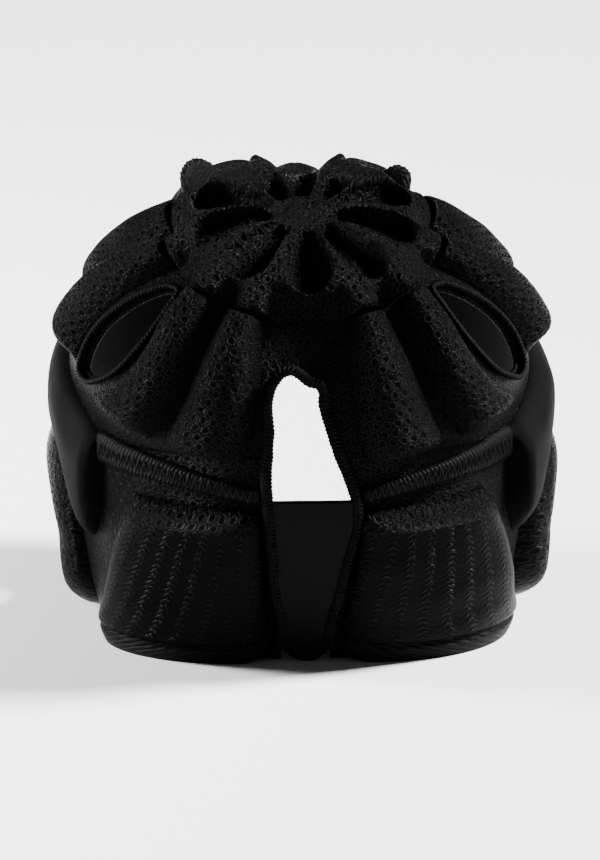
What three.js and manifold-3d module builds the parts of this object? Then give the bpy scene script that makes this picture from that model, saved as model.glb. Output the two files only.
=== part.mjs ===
// Soft shell football helmet, resting on its lower edge.
// Millimetres, +Z up, the back of the head towards -Y and the face opening towards +Y.
// A thin hollow fabric shell carries foam pads, edge bindings, an elastic nape strap and a chin strap.

import * as THREE from "three";
import { mergeVertices } from "three/addons/utils/BufferGeometryUtils.js";
import Module from "manifold-3d";

// Overall form of the padded outside
const OUTER_WIDTH = 208;
const OUTER_DEPTH = 216;
const GIRTH_HEIGHT = 86; // height of the widest line above the lower edge
const CROWN_RISE = 96; // crown above the widest line
const TUCK_REACH = 168; // lower half: the smaller, the more the lower edge tucks in
const GIRTH_SQUARENESS = 2.4; // exponent of the plan outline, 2 is an ellipse
const EDGE_SQUARENESS = 3.2; // the same at the lower edge
const DOME_SQUARENESS = 2.2; // exponent of the upper profile
const RIB_TILT = 22; // the ribs spread from an axis that leans this far back, in degrees
const CROWN_TILT = 28; // the crown flower leans a little further

// Wall build-up, as depths below the padded outside
const PAD_THICKNESS = 9;
const SHELL_WALL = 3;
const SEAT_GAP = 0.6; // air between a pad's underside and the shell
const SIDE_GAP = 0.5; // air between neighbours edge to edge
const PAD_EDGE_SHARE = 0.3; // how much of a pad's thickness is left at its edge

// Crown flower
const PETALS = 10;
const HUB_DOWN = 6; // degrees from the crown axis to where the petals start
const PETAL_END_DOWN = 26.5;
const CROWN_EDGE_DOWN = 32;
const PETAL_HALF_TURN = 14;
const HUB_DEPTH = 7;
const FRONT_LOBE_RISE = 2.6; // the far part of the crown ring swells on both sides of the middle

// Back opening: a keyhole above the strap, a gap filled by the strap below it.
// Each row is a height and the reach of the opening to both sides of the middle.
const BACK_GAP = [
  { height: 0, left: 9, right: 6.5 },
  { height: 35, left: 11.5, right: 11 },
  { height: 69, left: 14, right: 16 },
  { height: 78, left: 14.5, right: 13 },
  { height: 88, left: 14, right: 9 },
  { height: 98, left: 13.5, right: 6 },
  { height: 107, left: 14, right: 3.5 },
  { height: 112, left: 12.5, right: 1 },
  { height: 115.5, left: 9.5, right: -2.5 },
];
const KEYHOLE_TOP = { height: 117, across: -6 };
const STRAP_TOP = 69;
const STRAP_THICKNESS = 1.8;
const STRAP_CLEARANCE = 0.1; // to the binding on both sides
const BINDING_RADIUS = 2.1;

// Lower pads and ears
const PAD_FLOOR = 0; // the lower pads stand on the surface
const EAR_TURN = 93; // from the back of the head, in degrees
const EAR_HEIGHT = 37;
const EAR_HALF_TURN = 27;
const EAR_HALF_HEIGHT = 37;
const EAR_HOLE_SHARE = 0.36; // of the ear pad's size
const EAR_SQUARENESS = 3.4; // exponent of its outer outline, 2 is an ellipse

// Face opening
const BROW_HEIGHT = 95;
const FACE_HALF_WIDTH = 66;
const CHEEK_HEIGHT = 66; // below this the opening reaches round the cheeks
const CHEEK_FORWARD = 34; // how far forward of the middle the lower front corners sit

// Chin strap
const CHIN_WIDTH = 18;
const CHIN_THICKNESS = 2.4;
const CHIN_FORWARD = 70;
const CHIN_TURN = 117; // where it leaves the ear pads, in degrees from the back
const CHIN_SEAM_TURN = 13; // the length that is sewn to the shell
const CHIN_CLEARANCE = 0.65;

const BLACK_MESH = 0x17171a;
const BLACK_KNIT = 0x131316;
const BLACK_BINDING = 0x0d0d0f;
const BLACK_ELASTIC = 0x1d1d20;

const wasm = await Module();
wasm.setup();

const degrees = THREE.MathUtils.degToRad;
const lerp = THREE.MathUtils.lerp;
const SEAT = -PAD_THICKNESS;
const LINING = SEAT - SHELL_WALL;
const PAD_BASE = SEAT + SEAT_GAP;
const BINDING_LEVEL = PAD_BASE + BINDING_RADIUS;

// The form. A level is a distance outside (+) or inside (-) the padded outside.

// Plan scale at a height: 1 at the girth, smaller above and below.
function planScale(height, level) {
  const off = height - GIRTH_HEIGHT;
  if (off < 0) return Math.sqrt(1 - (off / TUCK_REACH) ** 2);
  return Math.max(0, 1 - (off / (CROWN_RISE + level)) ** DOME_SQUARENESS) ** (1 / DOME_SQUARENESS);
}

function squareness(height) {
  const below = Math.max(0, 1 - height / GIRTH_HEIGHT);
  return lerp(GIRTH_SQUARENESS, EDGE_SQUARENESS, Math.min(1, below) ** 1.5);
}

// turn is measured from the back of the head, positive towards +X.
function atHeight(turn, height, level) {
  const across = Math.sin(degrees(turn));
  const along = -Math.cos(degrees(turn));
  const power = squareness(height);
  const scale = planScale(height, level);
  const halfWidth = (OUTER_WIDTH / 2 + level) * scale;
  const halfDepth = (OUTER_DEPTH / 2 + level) * scale;
  const radius = (Math.abs(across / halfWidth) ** power + Math.abs(along / halfDepth) ** power) ** (-1 / power);
  return new THREE.Vector3(radius * across, radius * along, height);
}

// The point of the form in a direction from the middle of the girth.
function alongDirection(direction, level) {
  const flat = Math.hypot(direction.x, direction.y);
  const turn = THREE.MathUtils.radToDeg(Math.atan2(direction.x, -direction.y));
  if (direction.z >= 0) {
    const plan = atHeight(turn, GIRTH_HEIGHT, level);
    const planReach = Math.hypot(plan.x, plan.y);
    const power = DOME_SQUARENESS;
    const reach = ((flat / planReach) ** power + (direction.z / (CROWN_RISE + level)) ** power) ** (-1 / power);
    return new THREE.Vector3(0, 0, GIRTH_HEIGHT).addScaledVector(direction, reach);
  }
  let point = atHeight(turn, GIRTH_HEIGHT, level);
  for (let pass = 0; pass < 12; pass++) {
    const reach = Math.hypot(point.x, point.y) / flat;
    point = atHeight(turn, GIRTH_HEIGHT + reach * direction.z, level);
  }
  return point;
}

// A way to place points round an axis that leans back by an angle: around is the angle
// about the axis, 0 at the back, and down is the angle from the axis.
function roundAxis(lean) {
  const sine = Math.sin(degrees(lean));
  const cosine = Math.cos(degrees(lean));
  return (around, down, level) => {
    const across = Math.sin(degrees(down)) * Math.sin(degrees(around));
    const back = Math.sin(degrees(down)) * Math.cos(degrees(around));
    const along = Math.cos(degrees(down));
    const direction = new THREE.Vector3(across, -along * sine - back * cosine, along * cosine - back * sine);
    return alongDirection(direction, level);
  };
}

const onRibs = roundAxis(RIB_TILT);
const onCrown = roundAxis(CROWN_TILT);
const onUpright = roundAxis(0);

// The point of the back, or of the front with side = 1, at a distance across from the middle.
function acrossAt(across, height, level, side = -1) {
  const power = squareness(height);
  const scale = planScale(height, level);
  const share = Math.min(1, Math.abs(across) / ((OUTER_WIDTH / 2 + level) * scale));
  const halfDepth = (OUTER_DEPTH / 2 + level) * scale;
  return new THREE.Vector3(across, side * halfDepth * (1 - share ** power) ** (1 / power), height);
}

// Solids

// Moves every vertex of a closed three.js geometry through a function of its position.
function bend(geometry, move) {
  const bare = geometry.clone();
  bare.deleteAttribute("normal");
  bare.deleteAttribute("uv");
  const position = bare.getAttribute("position");
  const vertex = new THREE.Vector3();
  for (let i = 0; i < position.count; i++) {
    const moved = move(vertex.fromBufferAttribute(position, i).clone());
    position.setXYZ(i, moved.x, moved.y, moved.z);
  }
  return faceOut(mergeVertices(bare, 1e-3));
}

function signedVolume(geometry) {
  const position = geometry.getAttribute("position");
  const corner = [0, 1, 2].map(() => new THREE.Vector3());
  let sum = 0;
  for (let i = 0; i < geometry.index.count; i += 3) {
    corner.forEach((c, k) => c.fromBufferAttribute(position, geometry.index.getX(i + k)));
    sum += corner[0].dot(corner[1].cross(corner[2])) / 6;
  }
  return sum;
}

// Drops triangles that have collapsed to a line, and turns the faces outwards.
function faceOut(geometry) {
  const kept = [];
  for (let i = 0; i < geometry.index.count; i += 3) {
    const [a, b, c] = [0, 1, 2].map((k) => geometry.index.getX(i + k));
    if (a !== b && b !== c && c !== a) kept.push(a, b, c);
  }
  geometry.setIndex(kept);
  if (signedVolume(geometry) < 0) {
    for (let i = 0; i < kept.length; i += 3) [kept[i + 1], kept[i + 2]] = [kept[i + 2], kept[i + 1]];
    geometry.setIndex(kept);
  }
  geometry.computeVertexNormals();
  return geometry;
}

function toSolid(geometry) {
  return new wasm.Manifold(
    new wasm.Mesh({
      numProp: 3,
      vertProperties: new Float32Array(geometry.getAttribute("position").array),
      triVerts: new Uint32Array(geometry.index.array),
    }),
  );
}

function fromSolid(solid) {
  const mesh = solid.getMesh();
  const geometry = new THREE.BufferGeometry();
  geometry.setAttribute("position", new THREE.BufferAttribute(mesh.vertProperties, 3));
  geometry.setIndex(new THREE.BufferAttribute(mesh.triVerts, 1));
  geometry.computeVertexNormals();
  return geometry;
}

// How full a pad is across its width: 1 in the middle, 0 at the edges.
function crownProfile(share) {
  return (1 - Math.abs(2 * share - 1) ** 2.3) ** 0.8;
}

// A pad on the shell. Each row is a section { at, from, to, rise }: its place along the pad,
// its two edges, and the share of the full thickness that it reaches.
function padFromRows(rows, place, segmentsAcross) {
  const box = new THREE.BoxGeometry(1, 1, 1, segmentsAcross, rows.length - 1, 1);
  return bend(box, (p) => {
    const row = rows[Math.round((p.y + 0.5) * (rows.length - 1))];
    const share = p.x + 0.5;
    const fullness = PAD_EDGE_SHARE + (1 - PAD_EDGE_SHARE) * row.rise * crownProfile(share);
    const level = p.z > 0 ? PAD_BASE + (PAD_THICKNESS - SEAT_GAP) * fullness : PAD_BASE;
    return place(lerp(row.from, row.to, share), row.at, level);
  });
}

// Mirrors rows of angles to the other side of the head, turned a little if the pad lies askew.
function mirrored(rows, askew = 0) {
  return rows.map((row) => ({ ...row, from: -row.from - askew, to: -row.to - askew }));
}

// Ribs that run down from the crown: at is degrees from the pole, from and to are degrees about it.
const INNER_BACK_RIB = [
  { at: 41, from: 15, to: 26, rise: 0.35 },
  { at: 44.5, from: 12.5, to: 28.5, rise: 0.9 },
  { at: 50.5, from: 11.5, to: 29.5, rise: 1 },
  { at: 58, from: 11.5, to: 30.5, rise: 1 },
  { at: 65, from: 12, to: 32, rise: 0.95 },
  { at: 70.5, from: 13.5, to: 33.5, rise: 0.4 },
];
const OUTER_BACK_RIB = [
  { at: 39.5, from: 37, to: 45, rise: 0.35 },
  { at: 44, from: 33, to: 47, rise: 0.9 },
  { at: 51, from: 32.5, to: 47, rise: 1 },
  { at: 58, from: 33, to: 48.5, rise: 1 },
  { at: 65, from: 35, to: 53.5, rise: 0.95 },
  { at: 70.5, from: 38, to: 60, rise: 0.4 },
];
const SIDE_RIB = [
  { at: 37, from: 62, to: 80, rise: 0.35 },
  { at: 42, from: 67, to: 86, rise: 0.9 },
  { at: 49, from: 71.5, to: 90, rise: 1 },
  { at: 57, from: 75, to: 93, rise: 1 },
  { at: 65, from: 77, to: 95, rise: 0.95 },
  { at: 71, from: 77, to: 96, rise: 0.4 },
];
const UPPER_SIDE_RIB = [
  { at: 36, from: 90, to: 112, rise: 0.5 },
  { at: 43, from: 92, to: 115, rise: 1 },
  { at: 51, from: 95, to: 117, rise: 1 },
  { at: 59, from: 97, to: 119, rise: 1 },
  { at: 66, from: 98.5, to: 120, rise: 0.35 },
];
const FRONT_RIB = [
  { at: 35, from: 150, to: 163, rise: 0.5 },
  { at: 43, from: 149, to: 165, rise: 1 },
  { at: 53, from: 145.5, to: 165, rise: 1 },
  { at: 62, from: 144, to: 165, rise: 1 },
  { at: 69, from: 143, to: 165, rise: 0.4 },
];
const CENTRE_FRONT_RIB = [
  { at: 33, from: 172, to: 188, rise: 0.5 },
  { at: 42, from: 170, to: 190, rise: 1 },
  { at: 55, from: 169, to: 191, rise: 1 },
  { at: 64, from: 168, to: 192, rise: 1 },
  { at: 71, from: 168, to: 192, rise: 0.4 },
];
const INNER_LEFT_ASKEW = 2;
const OUTER_LEFT_ASKEW = 1;

// Forehead pads: at is the angle from straight up, from and to are turns from the back.
const BROW_CENTRE = [
  { at: 55, from: 156, to: 204, rise: 0.4 },
  { at: 62, from: 154, to: 206, rise: 1 },
  { at: 72, from: 153, to: 207, rise: 1 },
  { at: 82.5, from: 153, to: 207, rise: 0.4 },
];
const BROW_SIDE = [
  { at: 54.5, from: 122, to: 151, rise: 0.4 },
  { at: 61, from: 120, to: 151, rise: 1 },
  { at: 71, from: 121, to: 150.5, rise: 1 },
  { at: 82, from: 126, to: 150.5, rise: 0.4 },
];

// Nape pads: at is the height, left and right are the turns of the outer edges.
// The inner edge follows the back gap.
const NAPE_PAD = [
  { at: PAD_FLOOR, left: 53.5, right: 56, rise: 0.8 },
  { at: 8, left: 54, right: 57, rise: 1 },
  { at: 20, left: 50.5, right: 53, rise: 1 },
  { at: 32, left: 47, right: 49.5, rise: 1 },
  { at: 44, left: 44, right: 46, rise: 1 },
  { at: 55, left: 41, right: 42.5, rise: 1 },
  { at: 63, left: 39, right: 40, rise: 0.5 },
];
// The nape pads' top edge climbs outwards by this much from one side to the other.
const NAPE_TOP_CLIMB = 4;

// The turn just outside the binding of the back gap.
function besideBinding(side, height) {
  const p = acrossAt(gapReach(side, height) + 2 * BINDING_RADIUS + 2 * SIDE_GAP, height, PAD_BASE);
  return THREE.MathUtils.radToDeg(Math.atan2(p.x, -p.y));
}

function napePad(side) {
  const rows = NAPE_PAD.map((row) => ({
    ...row,
    from: besideBinding(side, row.at),
    to: side > 0 ? row.right : row.left,
  }));
  const top = rows[rows.length - 1];
  const place = (turn, height, level) => {
    const climb = (NAPE_TOP_CLIMB * height * turn) / (top.at * top.to);
    return atHeight(side * turn, height + climb, level);
  };
  return padFromRows(rows, place, 7);
}

// Panels behind and above the ears: at is the turn, from and to are heights.
const EAR_TOP_PANEL = [
  { at: 51.5, from: 55, to: 86, rise: 0.4 },
  { at: 55.5, from: 44, to: 90, rise: 0.9 },
  { at: 60.5, from: 44, to: 94, rise: 1 },
  { at: 65, from: 57, to: 97, rise: 1 },
  { at: 69, from: 67, to: 99, rise: 1 },
  { at: 75, from: 74, to: 101, rise: 1 },
  { at: 81, from: 77, to: 103, rise: 1 },
  { at: 91, from: 78, to: 106, rise: 1 },
  { at: 102, from: 80, to: 109, rise: 0.9 },
  { at: 110, from: 85, to: 112, rise: 0.4 },
];

function panelPlace(side) {
  return (height, turn, level) => atHeight(side * turn, height, level);
}

// Band over the seam between the ribs and the nape pads: at is the turn, from and to are heights.
const SEAM_BAND = [
  { at: 13, from: 67.5, to: 73.5 },
  { at: 20, from: 69.5, to: 77 },
  { at: 29, from: 72, to: 81 },
  { at: 38, from: 74, to: 84.5 },
  { at: 49, from: 75, to: 88 },
];
const SEAM_BAND_THICKNESS = 2;

function seamBand(side) {
  const box = new THREE.BoxGeometry(1, 1, 1, 1, SEAM_BAND.length - 1, 1);
  return bend(box, (p) => {
    const row = SEAM_BAND[Math.round((p.y + 0.5) * (SEAM_BAND.length - 1))];
    const level = PAD_BASE + (p.z > 0 ? SEAM_BAND_THICKNESS : 0);
    return atHeight(side * row.at, lerp(row.from, row.to, p.x + 0.5), level);
  });
}

// Crown panel: ridges rise from the hub to a ring, with a petal-shaped hollow between each pair.
function crownRelief(around, down) {
  const climb = THREE.MathUtils.smoothstep(down, HUB_DOWN, PETAL_END_DOWN - 3);
  const turn = degrees(around);
  const lobe = 2 * Math.max(0, -Math.cos(turn)) * Math.abs(Math.sin(turn)) * FRONT_LOBE_RISE;
  const ridge = lerp(-HUB_DEPTH, lobe, climb);
  const along = (down - HUB_DOWN) / (PETAL_END_DOWN - HUB_DOWN);
  if (along <= 0 || along >= 1) return ridge;
  const width = PETAL_HALF_TURN * Math.sin(Math.PI * along ** 0.8) ** 0.45;
  const spacing = 360 / PETALS;
  const offset = Math.abs(around - Math.round(around / spacing) * spacing) / width;
  const depth = offset < 1 ? Math.cos((Math.PI / 2) * offset) : 0;
  return ridge - depth * (ridge - (PAD_BASE + 1.5));
}

function crownPanel() {
  const topDown = [0, HUB_DOWN, 11, 15, 19, 23, 26, PETAL_END_DOWN + 0.5, 29.5, CROWN_EDGE_DOWN];
  const underDown = [CROWN_EDGE_DOWN, 27, 18, 9, 0];
  const profile = [
    ...topDown.map((down) => new THREE.Vector2(down, 1)),
    ...underDown.map((down) => new THREE.Vector2(down, 0)),
  ];
  const lathe = new THREE.LatheGeometry(profile, PETALS * 6);
  return bend(lathe, (p) => {
    const down = Math.hypot(p.x, p.z);
    const around = THREE.MathUtils.radToDeg(Math.atan2(p.x, p.z));
    const edge = down > CROWN_EDGE_DOWN - 0.01 ? 0.55 * PAD_THICKNESS : 0;
    return onCrown(around, down, p.y > 0.5 ? crownRelief(around, down) - edge : PAD_BASE);
  });
}

// Openings

// Reach of the back gap to one side at a height, measured to the inner side of the binding.
function gapReach(side, height) {
  const key = side > 0 ? "right" : "left";
  const above = BACK_GAP.findIndex((row) => row.height >= height);
  if (above < 0) return BACK_GAP[BACK_GAP.length - 1][key];
  if (above === 0) return BACK_GAP[0][key];
  const [low, high] = [BACK_GAP[above - 1], BACK_GAP[above]];
  return lerp(low[key], high[key], (height - low.height) / (high.height - low.height));
}

// A prism along Y through the back wall, wider than the gap by a margin.
function keyholeCutter(margin) {
  const down = BACK_GAP[0].height - margin;
  const edge = (side) => [
    new THREE.Vector2(side * (gapReach(side, 0) + margin), down),
    ...BACK_GAP.map(({ height }) => new THREE.Vector2(side * (gapReach(side, height) + margin), height)),
  ];
  const top = [2, -2].map((across) => new THREE.Vector2(KEYHOLE_TOP.across + across, KEYHOLE_TOP.height + margin));
  const shape = new THREE.Shape([...edge(1), ...top, ...edge(-1).reverse()]);
  const prism = new THREE.ExtrudeGeometry(shape, { depth: OUTER_DEPTH / 2, bevelEnabled: false });
  return bend(prism, (p) => new THREE.Vector3(p.x, -OUTER_DEPTH / 2 - 10 + p.z, p.y));
}

// The vent holes, as rows about the pole: at is down, from and to are around.
const BACK_VENT = [
  { at: 39, from: 51, to: 56 },
  { at: 43, from: 50, to: 62 },
  { at: 49, from: 50, to: 67 },
  { at: 55, from: 51.5, to: 70.5 },
  { at: 61, from: 54.5, to: 72.5 },
  { at: 66, from: 60, to: 72.5 },
  { at: 69, from: 65, to: 71.5 },
];
const FRONT_VENT = [
  { at: 43, from: 126, to: 134 },
  { at: 48, from: 122, to: 138 },
  { at: 56, from: 122, to: 138 },
  { at: 63, from: 125, to: 136 },
];

// The hole's outline as a closed loop of [around, down] pairs.
function ventOutline(rows) {
  const outer = rows.map((row) => [row.to, row.at]);
  const inner = rows.map((row) => [row.from, row.at]).reverse();
  return [...outer, ...inner];
}

function ventCutter(rows, side) {
  const box = new THREE.BoxGeometry(1, 1, 1, 2, rows.length - 1, 1);
  return bend(box, (p) => {
    const row = rows[Math.round((p.y + 0.5) * (rows.length - 1))];
    const level = p.z > 0 ? 12 : LINING - 12;
    return onRibs(side * lerp(row.from, row.to, p.x + 0.5), row.at, level);
  });
}

// A bound edge round a vent: a closed tube on the shell along the outline.
function ventBinding(rows, side, radius) {
  const outline = ventOutline(rows).map(([around, down]) =>
    onRibs(side * around, down, SEAT + radius + SEAT_GAP),
  );
  const middle = outline.reduce((sum, p) => sum.add(p), new THREE.Vector3()).divideScalar(outline.length);
  const outward = middle.clone().sub(new THREE.Vector3(0, 0, GIRTH_HEIGHT)).normalize();
  const loop = new THREE.CatmullRomCurve3(outline, true, "centripetal");
  const torus = new THREE.TorusGeometry(1, 0.1, 5, 22);
  return bend(torus, (p) => {
    const turn = (Math.atan2(p.y, p.x) / (2 * Math.PI) + 1) % 1;
    const centre = loop.getPointAt(turn);
    const tangent = loop.getTangentAt(turn);
    const sideways = new THREE.Vector3().crossVectors(tangent, outward).normalize();
    const lift = (p.z / 0.1) * radius;
    const spread = ((Math.hypot(p.x, p.y) - 1) / 0.1) * radius;
    return centre.addScaledVector(sideways, spread).addScaledVector(outward, lift);
  });
}

// The face opening: an arch seen from the front, and a slanting cut round both cheeks.
function faceCutter() {
  const below = -20;
  const arch = new THREE.Shape();
  arch.moveTo(FACE_HALF_WIDTH, below);
  arch.lineTo(FACE_HALF_WIDTH, CHEEK_HEIGHT - 6);
  arch.quadraticCurveTo(FACE_HALF_WIDTH, BROW_HEIGHT, 0, BROW_HEIGHT);
  arch.quadraticCurveTo(-FACE_HALF_WIDTH, BROW_HEIGHT, -FACE_HALF_WIDTH, CHEEK_HEIGHT - 6);
  arch.lineTo(-FACE_HALF_WIDTH, below);
  const forward = new THREE.ExtrudeGeometry(arch, { depth: OUTER_DEPTH, bevelEnabled: false, curveSegments: 7 });
  const cheeks = new THREE.Shape();
  cheeks.moveTo(OUTER_DEPTH, below);
  cheeks.lineTo(CHEEK_FORWARD - 2, below);
  cheeks.lineTo(CHEEK_FORWARD, 0);
  cheeks.quadraticCurveTo(CHEEK_FORWARD + 8, CHEEK_HEIGHT - 4, CHEEK_FORWARD + 46, CHEEK_HEIGHT);
  cheeks.lineTo(OUTER_DEPTH, CHEEK_HEIGHT);
  const across = new THREE.ExtrudeGeometry(cheeks, {
    depth: OUTER_WIDTH * 1.5,
    bevelEnabled: false,
    curveSegments: 5,
  });
  return toSolid(bend(forward, (p) => new THREE.Vector3(p.x, p.z + CHEEK_FORWARD, p.y))).add(
    toSolid(bend(across, (p) => new THREE.Vector3(p.z - OUTER_WIDTH * 0.75, p.x, p.y))),
  );
}

// The ear pad's outline on the shell, as a share of its size from the ear's middle.
function earPoint(side, angle, share, level) {
  const power = lerp(2, EAR_SQUARENESS, (share - EAR_HOLE_SHARE) / (1 - EAR_HOLE_SHARE));
  const square = (value) => Math.sign(value) * Math.abs(value) ** (2 / power);
  const turn = EAR_TURN + share * EAR_HALF_TURN * square(Math.cos(angle));
  const height = EAR_HEIGHT + share * EAR_HALF_HEIGHT * square(Math.sin(angle));
  return atHeight(side * turn, Math.max(PAD_FLOOR, height), level);
}

function earHoleCutter(side) {
  const cylinder = new THREE.CylinderGeometry(1, 1, 1, 20, 1);
  return bend(cylinder, (p) => {
    const share = Math.hypot(p.x, p.z) * EAR_HOLE_SHARE;
    return earPoint(side, Math.atan2(p.z, p.x), share, p.y > 0 ? 12 : LINING - 12);
  });
}

// The hollow shell: two walls of the same form, joined at the lower edge.
function shellBase() {
  const drops = [0, 12, 24, 36, 47, 58, 69, 80, 90];
  const belows = [GIRTH_HEIGHT * 0.75, GIRTH_HEIGHT * 0.5, GIRTH_HEIGHT * 0.25, 0];
  const down = [...drops, ...belows.map((height) => 90 + GIRTH_HEIGHT - height)];
  const profile = [
    ...down.map((d) => new THREE.Vector2(d, 1)),
    ...down.map((d) => new THREE.Vector2(d, 0)).reverse(),
  ];
  const lathe = new THREE.LatheGeometry(profile, 44);
  const whole = bend(lathe, (p) => {
    const d = Math.hypot(p.x, p.z);
    const turn = THREE.MathUtils.radToDeg(Math.atan2(p.x, p.z));
    const level = p.y > 0.5 ? SEAT : LINING;
    if (d <= 90) return onUpright(turn, d, level);
    return atHeight(turn, GIRTH_HEIGHT - (d - 90), level);
  });
  let solid = toSolid(whole)
    .subtract(faceCutter())
    .subtract(toSolid(keyholeCutter(BINDING_RADIUS)));
  for (const side of [-1, 1]) {
    solid = solid
      .subtract(toSolid(ventCutter(BACK_VENT, side)))
      .subtract(toSolid(ventCutter(FRONT_VENT, side)))
      .subtract(toSolid(earHoleCutter(side)));
  }
  return fromSolid(solid);
}

// The ear pad is a ring round the ear hole, with a rounded section.
function earPad(side) {
  const inner = EAR_HOLE_SHARE;
  const section = [
    [inner, 0], [inner, 0.35], [lerp(inner, 1, 0.25), 0.9], [lerp(inner, 1, 0.55), 1],
    [lerp(inner, 1, 0.85), 0.85], [1, 0.35], [1, 0], [lerp(inner, 1, 0.67), 0], [lerp(inner, 1, 0.33), 0],
  ];
  const profile = [...section, section[0]].map(([share, level]) => new THREE.Vector2(share + 1, level));
  const lathe = new THREE.LatheGeometry(profile, 22);
  return bend(lathe, (p) => {
    const share = Math.hypot(p.x, p.z) - 1;
    const level = PAD_BASE + p.y * (PAD_THICKNESS - SEAT_GAP);
    return earPoint(side, Math.atan2(p.z, p.x), share, level);
  });
}

// Round section for tubes.
function roundShape(radius, sides) {
  const shape = new THREE.Shape();
  for (let i = 0; i < sides; i++) {
    const angle = (2 * Math.PI * i) / sides;
    const corner = [radius * Math.cos(angle), radius * Math.sin(angle)];
    if (i === 0) shape.moveTo(...corner);
    else shape.lineTo(...corner);
  }
  return shape;
}

// The bound edge of the back opening: up one side of the gap, over the top and down the other.
function backBinding() {
  const heights = [BINDING_RADIUS, ...BACK_GAP.slice(1).map((row) => row.height)];
  const edge = (side) =>
    heights.map((z) => acrossAt(side * (gapReach(side, z) + BINDING_RADIUS), z, BINDING_LEVEL));
  const top = acrossAt(KEYHOLE_TOP.across, KEYHOLE_TOP.height + BINDING_RADIUS, BINDING_LEVEL);
  const curve = new THREE.CatmullRomCurve3([...edge(1), top, ...edge(-1).reverse()], false, "centripetal");
  const tube = new THREE.ExtrudeGeometry(roundShape(BINDING_RADIUS, 6), {
    extrudePath: curve,
    steps: 46,
    bevelEnabled: false,
  });
  return bend(tube, (p) => p);
}

// The elastic strap fills the gap below the keyhole and ends in a rounded tip on the surface.
const STRAP_ROWS = [0, 0.06, 0.16, 0.3, 0.5, 0.75, 1];

function napeStrap() {
  const box = new THREE.BoxGeometry(1, 1, 1, 6, STRAP_ROWS.length - 1, 1);
  return bend(box, (p) => {
    const row = STRAP_ROWS[Math.round((p.y + 0.5) * (STRAP_ROWS.length - 1))];
    const share = 2 * p.x;
    const roundTip = 7 * share ** 2 * (1 - row) ** 3;
    const height = PAD_FLOOR + row * STRAP_TOP + roundTip;
    const side = Math.sign(share) || 1;
    const halfWidth = gapReach(side, height) - STRAP_CLEARANCE;
    const level = BINDING_LEVEL + p.z * STRAP_THICKNESS;
    return acrossAt(share * halfWidth, height, level);
  });
}

// The chin strap stands on its edge: it lies along the inside of one ear pad, runs forward
// round the chin and back to the other ear pad.
function chinStrap() {
  const level = LINING - CHIN_CLEARANCE - CHIN_THICKNESS / 2;
  const onWall = (turn) => atHeight(-turn, PAD_FLOOR, level).setZ(PAD_FLOOR + CHIN_WIDTH / 2);
  const end = onWall(CHIN_TURN);
  const path = [
    onWall(CHIN_TURN - CHIN_SEAM_TURN),
    onWall(CHIN_TURN - CHIN_SEAM_TURN / 2),
    end,
    new THREE.Vector3(0.72 * end.x, lerp(end.y, CHIN_FORWARD, 0.72), end.z),
    new THREE.Vector3(0.3 * end.x, CHIN_FORWARD, end.z),
  ];
  const whole = [...path, ...path.map((p) => new THREE.Vector3(-p.x, p.y, p.z)).reverse()];
  const curve = new THREE.CatmullRomCurve3(whole, false, "centripetal");
  const box = new THREE.BoxGeometry(1, 1, 1, 36, 1, 1);
  return bend(box, (p) => {
    const centre = curve.getPointAt(p.x + 0.5);
    const tangent = curve.getTangentAt(p.x + 0.5);
    const sideways = new THREE.Vector3(tangent.y, -tangent.x, 0).normalize();
    return centre.addScaledVector(sideways, p.z * CHIN_THICKNESS).setZ(centre.z + p.y * CHIN_WIDTH);
  });
}

// Raised lips at the rear of the front vents, seen as small humps beside the crown.
const LEFT_LIP = [
  { at: 35.5, from: -147, to: -128, rise: 1.6 },
  { at: 37.5, from: -148, to: -127, rise: 2.1 },
  { at: 39.5, from: -147, to: -128, rise: 1.4 },
];
const RIGHT_LIP = [
  { at: 35.5, from: 132, to: 146, rise: 1.5 },
  { at: 37.5, from: 131, to: 147, rise: 2 },
  { at: 39.5, from: 132, to: 146, rise: 1.3 },
];

// Assembly

const helmet = new THREE.Group();

function add(name, geometry, color, roughness = 0.85) {
  const mesh = new THREE.Mesh(geometry, new THREE.MeshStandardMaterial({ color, roughness, metalness: 0 }));
  mesh.name = name;
  helmet.add(mesh);
}

add("shell_base", shellBase(), BLACK_KNIT);
add("crown_panel", crownPanel(), BLACK_MESH);
add("front_rib_centre", padFromRows(CENTRE_FRONT_RIB, onRibs, 6), BLACK_MESH);
add("brow_pad_centre", padFromRows(BROW_CENTRE, onUpright, 8), BLACK_MESH);
add("back_binding", backBinding(), BLACK_BINDING);
add("nape_strap", napeStrap(), BLACK_ELASTIC, 0.7);
add("chin_strap", chinStrap(), BLACK_ELASTIC, 0.7);
add("vent_lip_left", padFromRows(LEFT_LIP, onRibs, 6), BLACK_BINDING);
add("vent_lip_right", padFromRows(RIGHT_LIP, onRibs, 6), BLACK_BINDING);

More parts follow.
